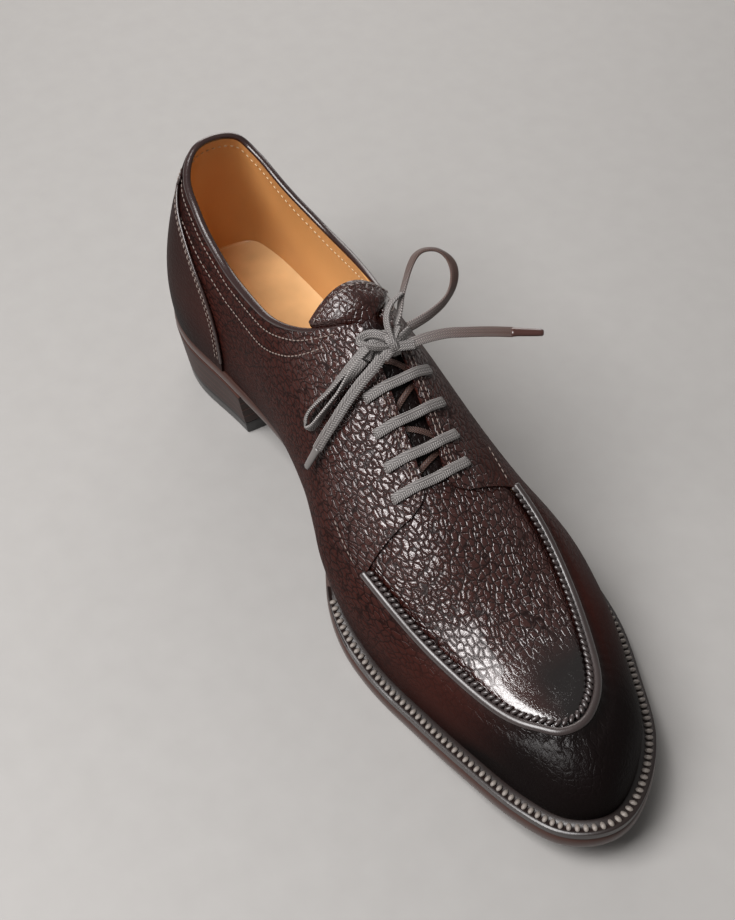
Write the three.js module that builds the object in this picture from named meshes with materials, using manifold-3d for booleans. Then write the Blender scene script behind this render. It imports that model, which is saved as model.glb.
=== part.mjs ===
// Left-foot blucher with a raised apron seam, open lacing, a welted sole and a stacked heel.
// Millimetres. +X runs to the toe, +Y to the outer side of the foot, +Z up.
// The origin is the middle of the heel's flat bottom.

import * as THREE from 'three';
import { mergeVertices } from 'three/addons/utils/BufferGeometryUtils.js';
import Module from 'manifold-3d';

const wasm = await Module();
wasm.setup();

// Driving dimensions of the last
const lastLength = 292;
const ballWidth = 81;
const instepHeight = 87;
const toeSpring = 11;
const backHeight = 69.5;

// Driving dimensions of the bottom
const heelStackHeight = 20;
const topPieceHeight = 6;
const outsoleThickness = 5;
const weltThickness = 3;
const weltWidth = 5.5;
const insoleThickness = 2.6;
const seatEdge = 1.4;
const waistEdge = -1.5;
const heelCentre = 35;
const heelAside = -5.5;
const heelBreast = 70;
const heelTaper = 3;
const groundRelief = 0.5;

// Driving dimensions of the upper
const wall = 1.8;
const vampStep = 1.2;
const seamRise = 1.1;
const seamWidth = 3;
const counterRise = 0.9;
const facingGap = 9;
const facingRadius = 7;
const facingFront = 188;
const facingTop = 128;
const vampEdge = 183;
const tongueTop = 114;
const tongueReach = 25;
const tongueRise = 3;
const tongueWall = 1.8;
const tongueGap = 0.8;

// Driving dimensions of the lacing
const eyeletRadius = 2.2;
const eyeletReach = 13.5;
const eyeletFirst = 138.5;
const eyeletLast = 179;
const eyeletPairs = 5;
const laceWidth = 4;
const laceThickness = 1.2;
const knotHalfAlong = 4.5;
const knotHalfAcross = 8;
const knotHalfOut = 2.7;
const agletRadius = 1.5;
const agletOuterLength = 11;
const agletInnerLength = 8;

// Clearance between pieces that meet
const fit = 0.3;

// Heights that follow from the bottom's layers
const seatFeather = topPieceHeight + heelStackHeight + outsoleThickness + 3 * fit;
const foreFeather = outsoleThickness + weltThickness + 2 * fit;

// Sections of the last from heel back to toe tip. Columns: place along the length; outer and
// inner half width, crest offset and side fullness as shares of the ball width; share of the
// seat's rise and of the toe spring; ridge height over the feather as a share of the instep;
// rise and shoulder of the side's curve; place of the apron seam between feather and ridge.
const columnNames = [
  'at', 'outer', 'inner', 'lift', 'spring', 'ridge', 'crest',
  'fullOuter', 'fullInner', 'riseOuter', 'riseInner', 'shoulderOuter', 'shoulderInner',
  'seamOuter', 'seamInner',
];
const sectionRows = [
  [0.000, -0.05, 0.05, 1.00, 0.00, 1.00, -0.04, 0.07, 0.09, 0.33, 0.33, 0.78, 0.85, 0.30, 0.30],
  [0.008, 0.135, 0.225, 1.00, 0.00, 1.00, -0.04, 0.07, 0.09, 0.33, 0.33, 0.75, 0.74, 0.30, 0.30],
  [0.050, 0.205, 0.375, 1.00, 0.00, 1.00, -0.04, 0.04, 0.07, 0.33, 0.33, 0.69, 0.50, 0.30, 0.30],
  [0.120, 0.245, 0.420, 1.00, 0.00, 1.00, -0.03, 0.01, -0.01, 0.33, 0.33, 0.67, 0.52, 0.30, 0.30],
  [0.220, 0.280, 0.355, 0.90, 0.00, 1.01, -0.02, 0.065, 0.01, 0.36, 0.36, 0.76, 0.665, 0.30, 0.30],
  [0.340, 0.295, 0.300, 0.68, 0.00, 0.955, -0.01, 0.13, 0.16, 0.42, 0.42, 0.71, 0.69, 0.42, 0.33],
  [0.460, 0.330, 0.330, 0.435, 0.00, 0.925, 0.025, 0.13, 0.22, 0.45, 0.48, 0.56, 0.60, 0.55, 0.37],
  [0.580, 0.447, 0.460, 0.155, 0.00, 0.750, -0.01, 0.095, 0.15, 0.52, 0.55, 0.525, 0.55, 0.59, 0.40],
  [0.680, 0.538, 0.464, 0.010, 0.01, 0.605, -0.07, 0.06, 0.05, 0.60, 0.65, 0.57, 0.55, 0.583, 0.415],
  [0.770, 0.513, 0.407, 0.000, 0.12, 0.433, -0.04, 0.035, 0.025, 0.64, 0.68, 0.56, 0.58, 0.60, 0.45],
  [0.860, 0.398, 0.343, 0.000, 0.42, 0.325, -0.04, 0.025, 0.02, 0.68, 0.70, 0.60, 0.62, 0.65, 0.545],
  [0.930, 0.281, 0.284, 0.000, 0.72, 0.253, -0.043, 0.02, 0.02, 0.70, 0.70, 0.65, 0.65, 0.73, 0.70],
  [0.980, 0.111, 0.198, 0.000, 0.93, 0.226, -0.05, 0.012, 0.012, 0.70, 0.70, 0.65, 0.65, 0.768, 0.765],
  [1.000, -0.05, 0.05, 0.000, 1.05, 0.212, -0.05, 0.012, 0.012, 0.70, 0.70, 0.65, 0.65, 0.79, 0.79],
];
const sections = sectionRows.map((row) => Object.fromEntries(columnNames.map((name, k) => [name, row[k]])));
const toe = sections.length - 1;
const turn = 2 * toe;

// Topline: place along the last and height over the seat, as shares of length and back height
const topline = [
  [0.000, 1.000], [0.027, 0.935], [0.103, 0.850], [0.165, 0.760], [0.223, 0.702],
  [0.308, 0.722], [0.377, 0.815], [0.4315, 0.945], [0.470, 1.050],
];

// A column of the sections as one closed round: heel, inner side, toe, outer side
function round(inner, outer, innerSign = 1) {
  return Array.from({ length: turn }, (_, k) => (
    k <= toe ? innerSign * sections[k][inner] : sections[turn - k][outer]));
}

const rounds = {
  x: round('at', 'at').map((share) => share * lastLength),
  y: round('inner', 'outer', -1).map((share) => share * ballWidth),
  full: round('fullInner', 'fullOuter').map((share) => share * ballWidth),
  lift: round('lift', 'lift'),
  spring: round('spring', 'spring'),
  rise: round('riseInner', 'riseOuter'),
  shoulder: round('shoulderInner', 'shoulderOuter'),
  seam: round('seamInner', 'seamOuter'),
};

function aroundAt(values, t) {
  const count = values.length;
  const k = Math.floor(t);
  const f = t - k;
  const [a, b, c, d] = [-1, 0, 1, 2].map((step) => values[(((k + step) % count) + count) % count]);
  return 0.5 * (2 * b + (c - a) * f + (2 * a - 5 * b + 4 * c - d) * f * f
    + (3 * b - a - 3 * c + d) * f * f * f);
}

// Smooth curve through points that never overshoots them
function monotone(points) {
  const xs = points.map((point) => point[0]);
  const ys = points.map((point) => point[1]);
  const last = xs.length - 1;
  const width = xs.slice(1).map((x, k) => x - xs[k]);
  const slope = width.map((w, k) => (ys[k + 1] - ys[k]) / w);
  const tangent = xs.map((_, k) => {
    if (k === 0) return slope[0];
    if (k === last) return slope[last - 1];
    if (slope[k - 1] * slope[k] <= 0) return 0;
    const before = 2 * width[k] + width[k - 1];
    const after = width[k] + 2 * width[k - 1];
    return (before + after) / (before / slope[k - 1] + after / slope[k]);
  });
  return (x) => {
    let k = 0;
    while (k < last - 1 && x > xs[k + 1]) k += 1;
    const f = Math.min(1, Math.max(0, (x - xs[k]) / width[k]));
    const g = 1 - f;
    return ys[k] * (1 + 2 * f) * g * g + tangent[k] * width[k] * f * g * g
      + ys[k + 1] * f * f * (3 - 2 * f) - tangent[k + 1] * width[k] * f * f * g;
  };
}

function featherHeight(lift, spring) {
  const climb = (seatFeather - foreFeather) * lift + toeSpring * spring;
  return foreFeather + Math.max(0, climb - groundRelief * (1 - lift));
}

const ridgeHeight = monotone(sections.map((row) => [
  row.at * lastLength, featherHeight(row.lift, row.spring) + row.ridge * instepHeight]));
const crestOffset = monotone(sections.map((row) => [row.at * lastLength, row.crest * ballWidth]));
const toplineHeight = monotone(topline.map(([at, height]) => [
  at * lastLength, seatFeather + height * backHeight]));

// The spine under the ridge stops short of heel and toe, and its ends are rounded over
const spineStart = 0.11 * lastLength;
const spineEnd = 0.884 * lastLength;
const spineEase = 14;

function spineAt(x) {
  const a = 0.5 * (x + spineStart + Math.hypot(x - spineStart, spineEase));
  return 0.5 * (a + spineEnd - Math.hypot(a - spineEnd, spineEase));
}

// Side curve at t, a cubic from the feather up to the ridge, in its own upright plane
function sideCurve(t) {
  const x = aroundAt(rounds.x, t);
  const y = aroundAt(rounds.y, t);
  const feather = featherHeight(aroundAt(rounds.lift, t), aroundAt(rounds.spring, t));
  const spineX = spineAt(x);
  const spineY = crestOffset(spineX);
  const top = ridgeHeight(spineX);
  const reach = Math.hypot(x - spineX, y - spineY);
  return {
    spineX, spineY, feather, top, reach,
    dirX: (x - spineX) / reach,
    dirY: (y - spineY) / reach,
    sideReach: reach + aroundAt(rounds.full, t),
    sideHeight: feather + aroundAt(rounds.rise, t) * (top - feather),
    shoulderReach: reach * aroundAt(rounds.shoulder, t),
  };
}

function reachOf(curve, w) {
  const v = 1 - w;
  return v * v * v * curve.reach + 3 * w * v * v * curve.sideReach + 3 * w * w * v * curve.shoulderReach;
}

function lastPoint(t, w) {
  const curve = sideCurve(t);
  const v = 1 - w;
  const reach = reachOf(curve, w);
  const height = v * v * v * curve.feather + 3 * w * v * v * curve.sideHeight
    + (3 * w * w * v + w * w * w) * curve.top;
  return new THREE.Vector3(curve.spineX + curve.dirX * reach, curve.spineY + curve.dirY * reach, height);
}

function ridgeNormal(x) {
  const slope = ridgeHeight(x + 0.5) - ridgeHeight(x - 0.5);
  return new THREE.Vector3(-slope, 0, 1).normalize();
}

function lastNormal(t, w) {
  const step = 1e-3;
  const along = lastPoint(t + step, Math.min(w, 0.995)).sub(lastPoint(t - step, Math.min(w, 0.995)));
  const up = lastPoint(t, Math.min(w + step, 1)).sub(lastPoint(t, Math.max(w - step, 0)));
  const normal = along.cross(up).normalize();
  const level = Math.min(1, w / 0.1);
  normal.z *= level;
  const toRidge = Math.max(0, (w - 0.97) / 0.03);
  return normal.normalize().lerp(ridgeNormal(sideCurve(t).spineX), toRidge * toRidge).normalize();
}

function offsetPoint(t, w, offset) {
  return lastPoint(t, w).addScaledVector(lastNormal(t, w), offset);
}

function bisect(low, high, isLow) {
  let a = low;
  let b = high;
  for (let k = 0; k < 40; k += 1) {
    const middle = 0.5 * (a + b);
    if (isLow(middle)) a = middle;
    else b = middle;
  }
  return 0.5 * (a + b);
}

// Place round the feather where it passes x, on the inner side (-1) or the outer side (+1)
function placeAt(x, side) {
  const t = bisect(0, toe, (k) => aroundAt(rounds.x, k) < x);
  return side < 0 ? t : turn - t;
}

// Share of the side curve at a sideways reach from the ridge
function shareAtReach(t, reach) {
  const curve = sideCurve(t);
  return bisect(0.4, 1, (w) => reachOf(curve, w) > reach);
}

function shareAtHeight(t, height) {
  return bisect(0.05, 1, (w) => lastPoint(t, w).z < height);
}

function facingPoint(x, side, reach, offset) {
  const t = placeAt(x, side);
  return offsetPoint(t, shareAtReach(t, reach), offset);
}

function mirrorPlace(t) {
  return t <= toe ? t : turn - t;
}

// Closed body from a flat list of corners and of triangles
function body(corners, triangles) {
  const geometry = new THREE.BufferGeometry();
  const array = new Float32Array(corners.flatMap((corner) => [corner.x, corner.y, corner.z]));
  geometry.setAttribute('position', new THREE.BufferAttribute(array, 3));
  geometry.setIndex(triangles.flat());
  return mergeVertices(geometry, 1e-3);
}

function dropFlat(geometry) {
  const index = Array.from(geometry.index.array);
  const kept = [];
  for (let k = 0; k < index.length; k += 3) {
    const [a, b, c] = index.slice(k, k + 3);
    if (a !== b && b !== c && c !== a) kept.push(a, b, c);
  }
  geometry.setIndex(kept);
  return geometry;
}

// Loft through rings of equal count, closed by flat ends
function loft(rings) {
  const count = rings[0].length;
  const triangles = [];
  for (let k = 0; k < rings.length - 1; k += 1) {
    for (let n = 0; n < count; n += 1) {
      const a = k * count + n;
      const b = k * count + ((n + 1) % count);
      triangles.push([a, b, b + count], [a, b + count, a + count]);
    }
  }
  for (let n = 1; n < count - 1; n += 1) {
    const far = (rings.length - 1) * count;
    triangles.push([0, n + 1, n], [far, far + n, far + n + 1]);
  }
  return dropFlat(body(rings.flat(), triangles));
}

function toSolid(geometry) {
  return new wasm.Manifold(new wasm.Mesh({
    numProp: 3,
    vertProperties: new Float32Array(geometry.attributes.position.array),
    triVerts: new Uint32Array(geometry.index.array),
  }));
}

function fromSolid(solid) {
  const mesh = solid.getMesh();
  const geometry = new THREE.BufferGeometry();
  geometry.setAttribute('position', new THREE.BufferAttribute(new Float32Array(mesh.vertProperties), 3));
  geometry.setIndex(new THREE.BufferAttribute(new Uint32Array(mesh.triVerts), 1));
  return geometry;
}

// Places round the shoe where the upper's mesh has its lines, each line a maker's edge or a filler
const counterFoot = 3.85;
const counterLean = 2.2;
const counterFade = 2.1;
const counterTopShare = 0.53;
const frontPlace = placeAt(facingFront, -1);
const vampPlace = placeAt(vampEdge, -1);
const facingTopPlace = placeAt(facingTop, -1);
const sharp = 0.02;
const upperLineCount = 48;

function upperPlaces() {
  const edges = [
    counterFoot, counterFoot + sharp, facingTopPlace,
    vampPlace, vampPlace + sharp, frontPlace, frontPlace + sharp,
  ];
  const step = toe / upperLineCount;
  const fillers = Array.from({ length: upperLineCount + 1 }, (_, k) => k * step)
    .filter((t) => edges.every((edge) => Math.abs(edge - t) > 0.3 * step));
  return [...edges, ...fillers].sort((a, b) => a - b);
}

// The counter's front edge leans back as it rises, and the mesh lines near it lean along
function leanBack(t, w) {
  const near = t < counterFoot ? t / counterFoot : Math.max(0, 1 - (t - counterFoot) / counterFade);
  return counterLean * Math.min(1, w / counterTopShare) ** 3 * near;
}

function topShare(t) {
  const place = mirrorPlace(t);
  const x = aroundAt(rounds.x, t);
  const collar = place < facingTopPlace + 1.5 ? shareAtHeight(t, toplineHeight(x)) : 1;
  if (place < facingTopPlace - 1.2) return collar;
  const back = Math.max(0, facingRadius - Math.max(0, facingFront - x));
  const corner = facingRadius - Math.sqrt(facingRadius ** 2 - Math.min(back, facingRadius) ** 2);
  return Math.min(collar, shareAtReach(t, facingGap / 2 + corner));
}

const upperColumns = upperPlaces();
const seamHighest = 0.7;
const slitShare = 0.5;
const plugDrop = 0.4;
const plugFade = 1.2;
const lowerShares = [0, 0.3, 0.6, 0.85];
const upperShares = [0.2, 0.4, 0.56, 0.7, 0.82, 0.92];

// One line of the upper from feather to edge: place, share, outer and inner offset of each point
function upperLine(place, side) {
  const t0 = side < 0 ? place : turn - place;
  const isVamp = place > vampPlace + sharp / 2;
  const isPlug = place > frontPlace + sharp / 2;
  const leant = (w) => (side < 0 ? place - leanBack(place, w) : turn - place + leanBack(place, w));
  let top = topShare(t0);
  for (let k = 0; k < 6; k += 1) top = topShare(leant(top));
  const chosen = aroundAt(rounds.seam, t0);
  const seam = isPlug ? chosen : Math.min(chosen, seamHighest * top);
  const slit = isPlug ? shareAtReach(t0, facingGap / 2 + facingRadius) : top;
  const edge = isPlug ? Math.max(slit, seam + slitShare * (1 - seam)) : top;
  const girth = lastPoint(t0, 0.3).distanceTo(lastPoint(t0, 0.9)) / 0.6;
  const half = 0.5 * seamWidth / girth;
  const away = Math.min(1, Math.max(0, (place - frontPlace) / plugFade));
  const plug = -vampStep + (vampStep - plugDrop) * away;
  const counter = place < counterFoot + sharp / 2 ? counterRise : 0;
  const points = lowerShares.map((share) => [share * seam, counter, -wall]);
  const onSeam = isPlug ? seamRise : counter;
  points.push([seam - half, counter, -wall]);
  points.push([seam, onSeam, -wall]);
  points.push([seam + half, isPlug ? plug : counter, -wall]);
  const thick = isVamp ? -(vampStep + wall + 0.2) + (vampStep - plugDrop) * away : -wall;
  upperShares.forEach((share) => {
    points.push([seam + half + (edge - seam - half) * share, isPlug ? plug : counter, thick]);
  });
  if (isVamp) {
    points.push([edge, isPlug ? plug : counter, thick]);
    points.push([edge + (1 - edge) * (isPlug ? 0.3 : 0.06), plug, thick]);
    points.push([1, plug, thick]);
  } else {
    points.push([edge - 0.02, counter, thick], [edge - 0.01, counter, thick], [edge, counter, thick]);
  }
  return points.map(([w, outer, inner]) => ({ t: leant(w), w, outer, inner }));
}

function makeUpper() {
  const lines = [];
  upperColumns.forEach((place) => lines.push({ place, side: -1 }));
  upperColumns.slice(1, -1).reverse().forEach((place) => lines.push({ place, side: 1 }));
  const rows = lines.map(({ place, side }) => upperLine(place, side));
  const rowCount = rows[0].length;
  const layer = lines.length * rowCount;
  const corners = [];
  ['outer', 'inner'].forEach((skin) => rows.forEach((row) => row.forEach((point) => {
    corners.push(offsetPoint(point.t, point.w, point[skin]));
  })));
  const triangles = [];
  const isVamp = (n) => lines[n].place > vampPlace + sharp / 2;
  lines.forEach((_, n) => {
    const next = (n + 1) % lines.length;
    const a = n * rowCount;
    const b = next * rowCount;
    for (let k = 0; k < rowCount - 1; k += 1) {
      triangles.push([a + k, b + k, b + k + 1], [a + k, b + k + 1, a + k + 1]);
      triangles.push([layer + a + k, layer + b + k + 1, layer + b + k]);
      triangles.push([layer + a + k, layer + a + k + 1, layer + b + k + 1]);
    }
    triangles.push([a, layer + b, b], [a, layer + a, layer + b]);
    if (!(isVamp(n) && isVamp(next))) {
      const c = a + rowCount - 1;
      const d = b + rowCount - 1;
      triangles.push([c, d, layer + d], [c, layer + d, layer + c]);
    }
  });
  return dropFlat(body(corners, triangles));
}

// Eyelet holes through both facings
const eyeletPlaces = Array.from({ length: eyeletPairs }, (_, k) => (
  eyeletFirst + (eyeletLast - eyeletFirst) * k / (eyeletPairs - 1)));

function rodAt(centre, direction, radius, length) {
  const upright = new THREE.Vector3(0, 1, 0);
  const geometry = new THREE.CylinderGeometry(radius, radius, length, 10);
  geometry.applyQuaternion(new THREE.Quaternion().setFromUnitVectors(upright, direction));
  geometry.translate(centre.x, centre.y, centre.z);
  geometry.deleteAttribute('normal');
  geometry.deleteAttribute('uv');
  return mergeVertices(geometry, 1e-3);
}

function eyeletPin(x, side) {
  const t = placeAt(x, side);
  const normal = lastNormal(t, shareAtReach(t, eyeletReach));
  return toSolid(rodAt(facingPoint(x, side, eyeletReach, 0), normal, eyeletRadius, 5 * wall));
}

function withEyelets(upper) {
  const pins = eyeletPlaces.flatMap((x) => [-1, 1].map((side) => eyeletPin(x, side)));
  return fromSolid(pins.reduce((solid, pin) => solid.subtract(pin), toSolid(upper)));
}

// Tongue under the facings, from the vamp's edge to above the lacing
function makeTongue() {
  const across = 8;
  const along = 10;
  const outer = -(wall + tongueGap);
  const front = vampEdge - 2;
  const skins = [outer, outer - tongueWall].map((offset) => {
    const grid = [];
    for (let v = 0; v <= along; v += 1) {
      for (let u = -across; u <= across; u += 1) {
        const share = Math.abs(u) / across;
        const back = tongueTop - tongueRise * (1 - share * share) + tongueRise;
        const x = back + (front - back) * v / along;
        const t = placeAt(x, u < 0 ? -1 : 1);
        const w = u === 0 ? 1 : shareAtReach(t, tongueReach * share);
        grid.push(offsetPoint(t, w, offset));
      }
    }
    return grid;
  });
  const wide = 2 * across + 1;
  const layer = wide * (along + 1);
  const triangles = [];
  for (let v = 0; v < along; v += 1) {
    for (let u = 0; u < wide - 1; u += 1) {
      const a = v * wide + u;
      triangles.push([a, a + wide, a + wide + 1], [a, a + wide + 1, a + 1]);
      triangles.push([layer + a, layer + a + wide + 1, layer + a + wide]);
      triangles.push([layer + a, layer + a + 1, layer + a + wide + 1]);
    }
  }
  const rim = [];
  for (let u = 0; u < wide - 1; u += 1) rim.push([u, u + 1]);
  for (let v = 0; v < along; v += 1) rim.push([v * wide + wide - 1, (v + 1) * wide + wide - 1]);
  for (let u = wide - 1; u > 0; u -= 1) rim.push([along * wide + u, along * wide + u - 1]);
  for (let v = along; v > 0; v -= 1) rim.push([v * wide, (v - 1) * wide]);
  rim.forEach(([a, b]) => triangles.push([a, b, layer + b], [a, layer + b, layer + a]));
  return body(skins.flat(), triangles);
}

// Outline of a bottom piece: the feather moved outwards
function featherPoint(t, offset, height) {
  const step = 1e-3;
  const x = aroundAt(rounds.x, t);
  const y = aroundAt(rounds.y, t);
  const dx = aroundAt(rounds.x, t + step) - aroundAt(rounds.x, t - step);
  const dy = aroundAt(rounds.y, t + step) - aroundAt(rounds.y, t - step);
  const size = Math.hypot(dx, dy);
  return new THREE.Vector3(x + dy / size * offset, y - dx / size * offset, height);
}

function blend(x, from, to, low, high) {
  const f = Math.min(1, Math.max(0, (x - low) / (high - low)));
  return from + (to - from) * f * f * (3 - 2 * f);
}

const weltTuck = 0.8;
const weltFeather = 0.9;
const weltSet = 0.4;
const weltEnd = 0.56 * lastLength;
const weltFull = 0.66 * lastLength;
const seatEnd = 0.25 * lastLength;
const waistPlace = 0.42 * lastLength;

function featherAt(t) {
  return featherHeight(aroundAt(rounds.lift, t), aroundAt(rounds.spring, t));
}

function edgeOffset(x) {
  const rear = blend(x, seatEdge, waistEdge, 0.75 * seatEnd, waistPlace);
  return blend(x, rear, weltWidth, waistPlace, weltFull);
}

function weltDepth(x) {
  return blend(x, weltFeather, weltThickness, weltEnd, weltFull);
}

function soleTop(t) {
  const x = aroundAt(rounds.x, t);
  const step = blend(x, 0, weltDepth(x) + fit, weltEnd - 2 * weltThickness, weltEnd - 1);
  return featherAt(t) - fit - step;
}

function soleBottom(t) {
  const x = aroundAt(rounds.x, t);
  const depth = blend(x, outsoleThickness + fit, foreFeather, 0.40 * lastLength, 0.60 * lastLength);
  return featherAt(t) - depth;
}

// Slab between two heights over a part of the feather outline, both sides joined across
function slab(places, offset, top, bottom) {
  const closed = places.at(-1) >= toe;
  const far = places.slice(1, closed ? -1 : undefined).reverse().map((t) => turn - t);
  const ring = [...places, ...far];
  const corners = [];
  [bottom, top].forEach((height) => ring.forEach((t) => {
    corners.push(featherPoint(t, offset(aroundAt(rounds.x, t)), height(t)));
  }));
  const count = ring.length;
  const last = places.length - 1;
  const mate = (k) => (k === 0 ? 0 : count - k);
  const triangles = [];
  for (let n = 0; n < count; n += 1) {
    const b = (n + 1) % count;
    triangles.push([n, b, count + b], [n, count + b, count + n]);
  }
  for (let k = 0; k < last; k += 1) {
    const [a, b] = [k, k + 1];
    const [c, d] = [mate(k), closed && b === last ? b : mate(b)];
    triangles.push([count + a, count + b, count + d], [count + a, count + d, count + c]);
    triangles.push([a, d, b], [a, c, d]);
  }
  return dropFlat(body(corners, triangles));
}

function placesBetween(start, end, count) {
  return Array.from({ length: count + 1 }, (_, k) => start + (end - start) * k / count);
}

const bottomPlaces = placesBetween(0, toe, 40);

function makeOutsole() {
  return slab(bottomPlaces, edgeOffset, soleTop, soleBottom);
}

// Strip between the upper's edge and the outsole, round the forepart
function makeWelt() {
  const start = placeAt(weltEnd, -1);
  const places = placesBetween(start, turn - start, 64);
  const rings = places.map((t) => {
    const x = aroundAt(rounds.x, t);
    const top = featherAt(t) - fit;
    const low = top - weltDepth(x);
    const inner = -(wall + weltTuck);
    const outer = edgeOffset(x) - weltSet;
    return [
      featherPoint(t, inner, low), featherPoint(t, outer, low),
      featherPoint(t, outer, top), featherPoint(t, inner, top),
    ];
  });
  return loft(rings.reverse());
}

function makeInsole() {
  const edge = -(wall + weltTuck + fit);
  return slab(bottomPlaces, () => edge, (t) => featherAt(t) + insoleThickness, (t) => soleTop(t) + fit);
}

// Heel: rings of the seat's outline, cut straight at the breast
const breastSnap = 1.5;

function heelRing(height, shrink) {
  const breast = heelBreast - 0.5 * shrink;
  const start = placeAt(breast, -1);
  const places = placesBetween(turn - start, turn + start, 30);
  return places.map((t) => {
    const point = featherPoint(t, edgeOffset(0) - shrink, 0);
    point.z = height(t);
    if (Math.abs(point.x - breast) < breastSnap) point.x = breast;
    return point;
  });
}

function makeHeelStack() {
  const top = (t) => soleBottom(t) - fit;
  const low = () => topPieceHeight + fit;
  return loft([
    heelRing(low, heelTaper * 0.77),
    heelRing((t) => 0.5 * (top(t) + low()), heelTaper * 0.5),
    heelRing(top, 0),
  ]);
}

function makeTopPiece() {
  return loft([
    heelRing(() => 0, heelTaper),
    heelRing(() => topPieceHeight, heelTaper * 0.8),
  ]);
}

// Flat lace: a ribbon along points, its width held in one direction
function ribbon(points, widths, thicknesses, side) {
  const rings = points.map((point, k) => {
    const before = points[Math.max(0, k - 1)];
    const after = points[Math.min(points.length - 1, k + 1)];
    const tangent = after.clone().sub(before).normalize();
    const across = side.clone().addScaledVector(tangent, -side.dot(tangent)).normalize();
    const normal = tangent.clone().cross(across);
    return [[-1, -1], [1, -1], [1, 1], [-1, 1]].map(([u, v]) => point.clone()
      .addScaledVector(across, u * 0.5 * widths[k])
      .addScaledVector(normal, v * 0.5 * thicknesses[k]));
  });
  return loft(rings);
}

const laceRest = fit + 0.5 * laceThickness;
const strandWidth = 2;
const strandFlatness = 0.4;

function makeBar(x) {
  const bend = eyeletReach - eyeletRadius;
  const reaches = [1, 1, bend / eyeletReach, 0.667, 0.481, 0.237].map((share) => share * eyeletReach);
  const depths = [-1, laceRest - 0.2, laceRest + 0.5, laceRest, laceRest, laceRest];
  const widths = [0.65, 0.7, 0.9, 1, 1, 1].map((share) => share * laceWidth);
  const thick = widths.map(() => laceThickness);
  const half = (side) => reaches.map((reach, k) => facingPoint(x, side, reach, depths[k]));
  const middle = facingPoint(x, 1, 0.01, laceRest);
  const points = [...half(-1), middle, ...half(1).reverse()];
  const mirrored = (list) => [...list, list.at(-1), ...[...list].reverse()];
  const slit = facingPoint(x + 1, 1, 0.01, 0).sub(facingPoint(x - 1, 1, 0.01, 0)).normalize();
  return ribbon(points, mirrored(widths), mirrored(thick), slit);
}

// Strand that runs in the gap between the facings from one bar to the next
function makeStrand(x, nextX, side) {
  const stops = [
    [0, 3.2, laceRest], [0.3, 2.2, -0.45], [0.5, 0.01, -0.55], [0.7, -2.2, -0.45], [1, -3.2, laceRest],
  ];
  const points = stops.map(([share, reach, offset]) => (
    facingPoint(x + (nextX - x) * share, Math.sign(reach) * side, Math.abs(reach), offset)));
  const across = points.at(-1).clone().sub(points[0]).cross(lastNormal(placeAt(x, 1), 0.99)).normalize();
  const widths = points.map(() => strandWidth);
  return ribbon(points, widths, widths.map((width) => strandFlatness * width), across);
}

function makeLaceBars() {
  const bars = eyeletPlaces.map((x) => toSolid(makeBar(x)));
  const strands = eyeletPlaces.slice(1).map((x, k) => (
    toSolid(makeStrand(eyeletPlaces[k], x, k % 2 ? 1 : -1))));
  return fromSolid([...bars, ...strands].reduce((sum, solid) => sum.add(solid)));
}

// Bow: the knot sits on the top bar, its loops and ends are lace lying free
const knotPlace = facingPoint(eyeletFirst + 3, 1, 0.01, laceRest + 0.5 * laceThickness + fit + knotHalfOut);

function makeKnot(grow = 0) {
  const geometry = new THREE.SphereGeometry(1, 18, 10);
  geometry.scale(knotHalfAcross + grow, knotHalfAlong + grow, knotHalfOut + grow);
  const out = ridgeNormal(knotPlace.x);
  const across = new THREE.Vector3(0, 1, 0);
  const along = out.clone().cross(across);
  geometry.applyMatrix4(new THREE.Matrix4().makeBasis(across, along, out));
  geometry.translate(knotPlace.x, knotPlace.y, knotPlace.z);
  geometry.deleteAttribute('normal');
  geometry.deleteAttribute('uv');
  return dropFlat(mergeVertices(geometry, 1e-3));
}

// Chosen points of each free length of lace, and the direction that its width faces
const laceRoutes = {
  lace_loop_upper: {
    side: [0.6, -0.3, 0.74],
    points: [
      [140.1, 5.9, 103], [138, 8.5, 105.5], [134.5, 11.2, 108], [131.3, 14.3, 110.3], [126.5, 19.4, 113.2],
      [123.9, 23.4, 114.4], [123.6, 27.2, 114.6], [125.2, 31.2, 113.6], [128.9, 33.5, 111.4],
      [133.2, 32.8, 109], [137, 29.7, 106.4], [139.9, 24.9, 104.6], [141.6, 18.8, 103.4],
      [142.2, 13.5, 102.6], [142.2, 9.5, 102],
    ],
  },
  lace_loop_side: {
    side: [-0.25, -0.75, 0.6],
    points: [
      [141, -6, 99.2], [141.2, -9, 97], [141, -13.5, 93.2], [140.2, -20.5, 85.6], [138.4, -25, 80],
      [137.2, -27.8, 75.6], [137.6, -29.4, 72], [139.8, -29.6, 71], [141.8, -28, 73.6],
      [142.8, -25, 78.6], [143.6, -20.4, 85], [143.8, -13.5, 92.4], [143.2, -8.5, 96.4],
    ],
  },
  lace_end_inner: {
    side: [1, 0, 0.25],
    points: [
      [146.2, -3.2, 97.4], [147.2, -6, 96], [147.8, -8.8, 94.4], [148.2, -12.5, 91.8],
      [148.6, -18, 86.4], [149, -23, 80.6], [148.8, -27.4, 74.6], [148.3, -30.6, 69],
    ],
  },
  lace_end_outer: {
    side: [-0.2, 0.1, 1],
    points: [
      [146.5, 7.5, 98.6], [147.4, 12.2, 99.6], [149.6, 19.8, 100.2], [152.8, 26.3, 100.2],
      [156.3, 33.1, 100], [160.1, 39.8, 99.6],
    ],
  },
};

function smoothPath(points, count) {
  const curve = new THREE.CatmullRomCurve3(points.map((point) => new THREE.Vector3(...point)));
  return curve.getSpacedPoints(count);
}

function makeFreeLace({ side, points }) {
  const path = smoothPath(points, 2 * points.length);
  const widths = path.map(() => laceWidth);
  const thicknesses = path.map(() => laceThickness);
  const lace = toSolid(ribbon(path, widths, thicknesses, new THREE.Vector3(...side).normalize()));
  return fromSolid(lace.subtract(toSolid(makeKnot(fit))));
}

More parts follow.
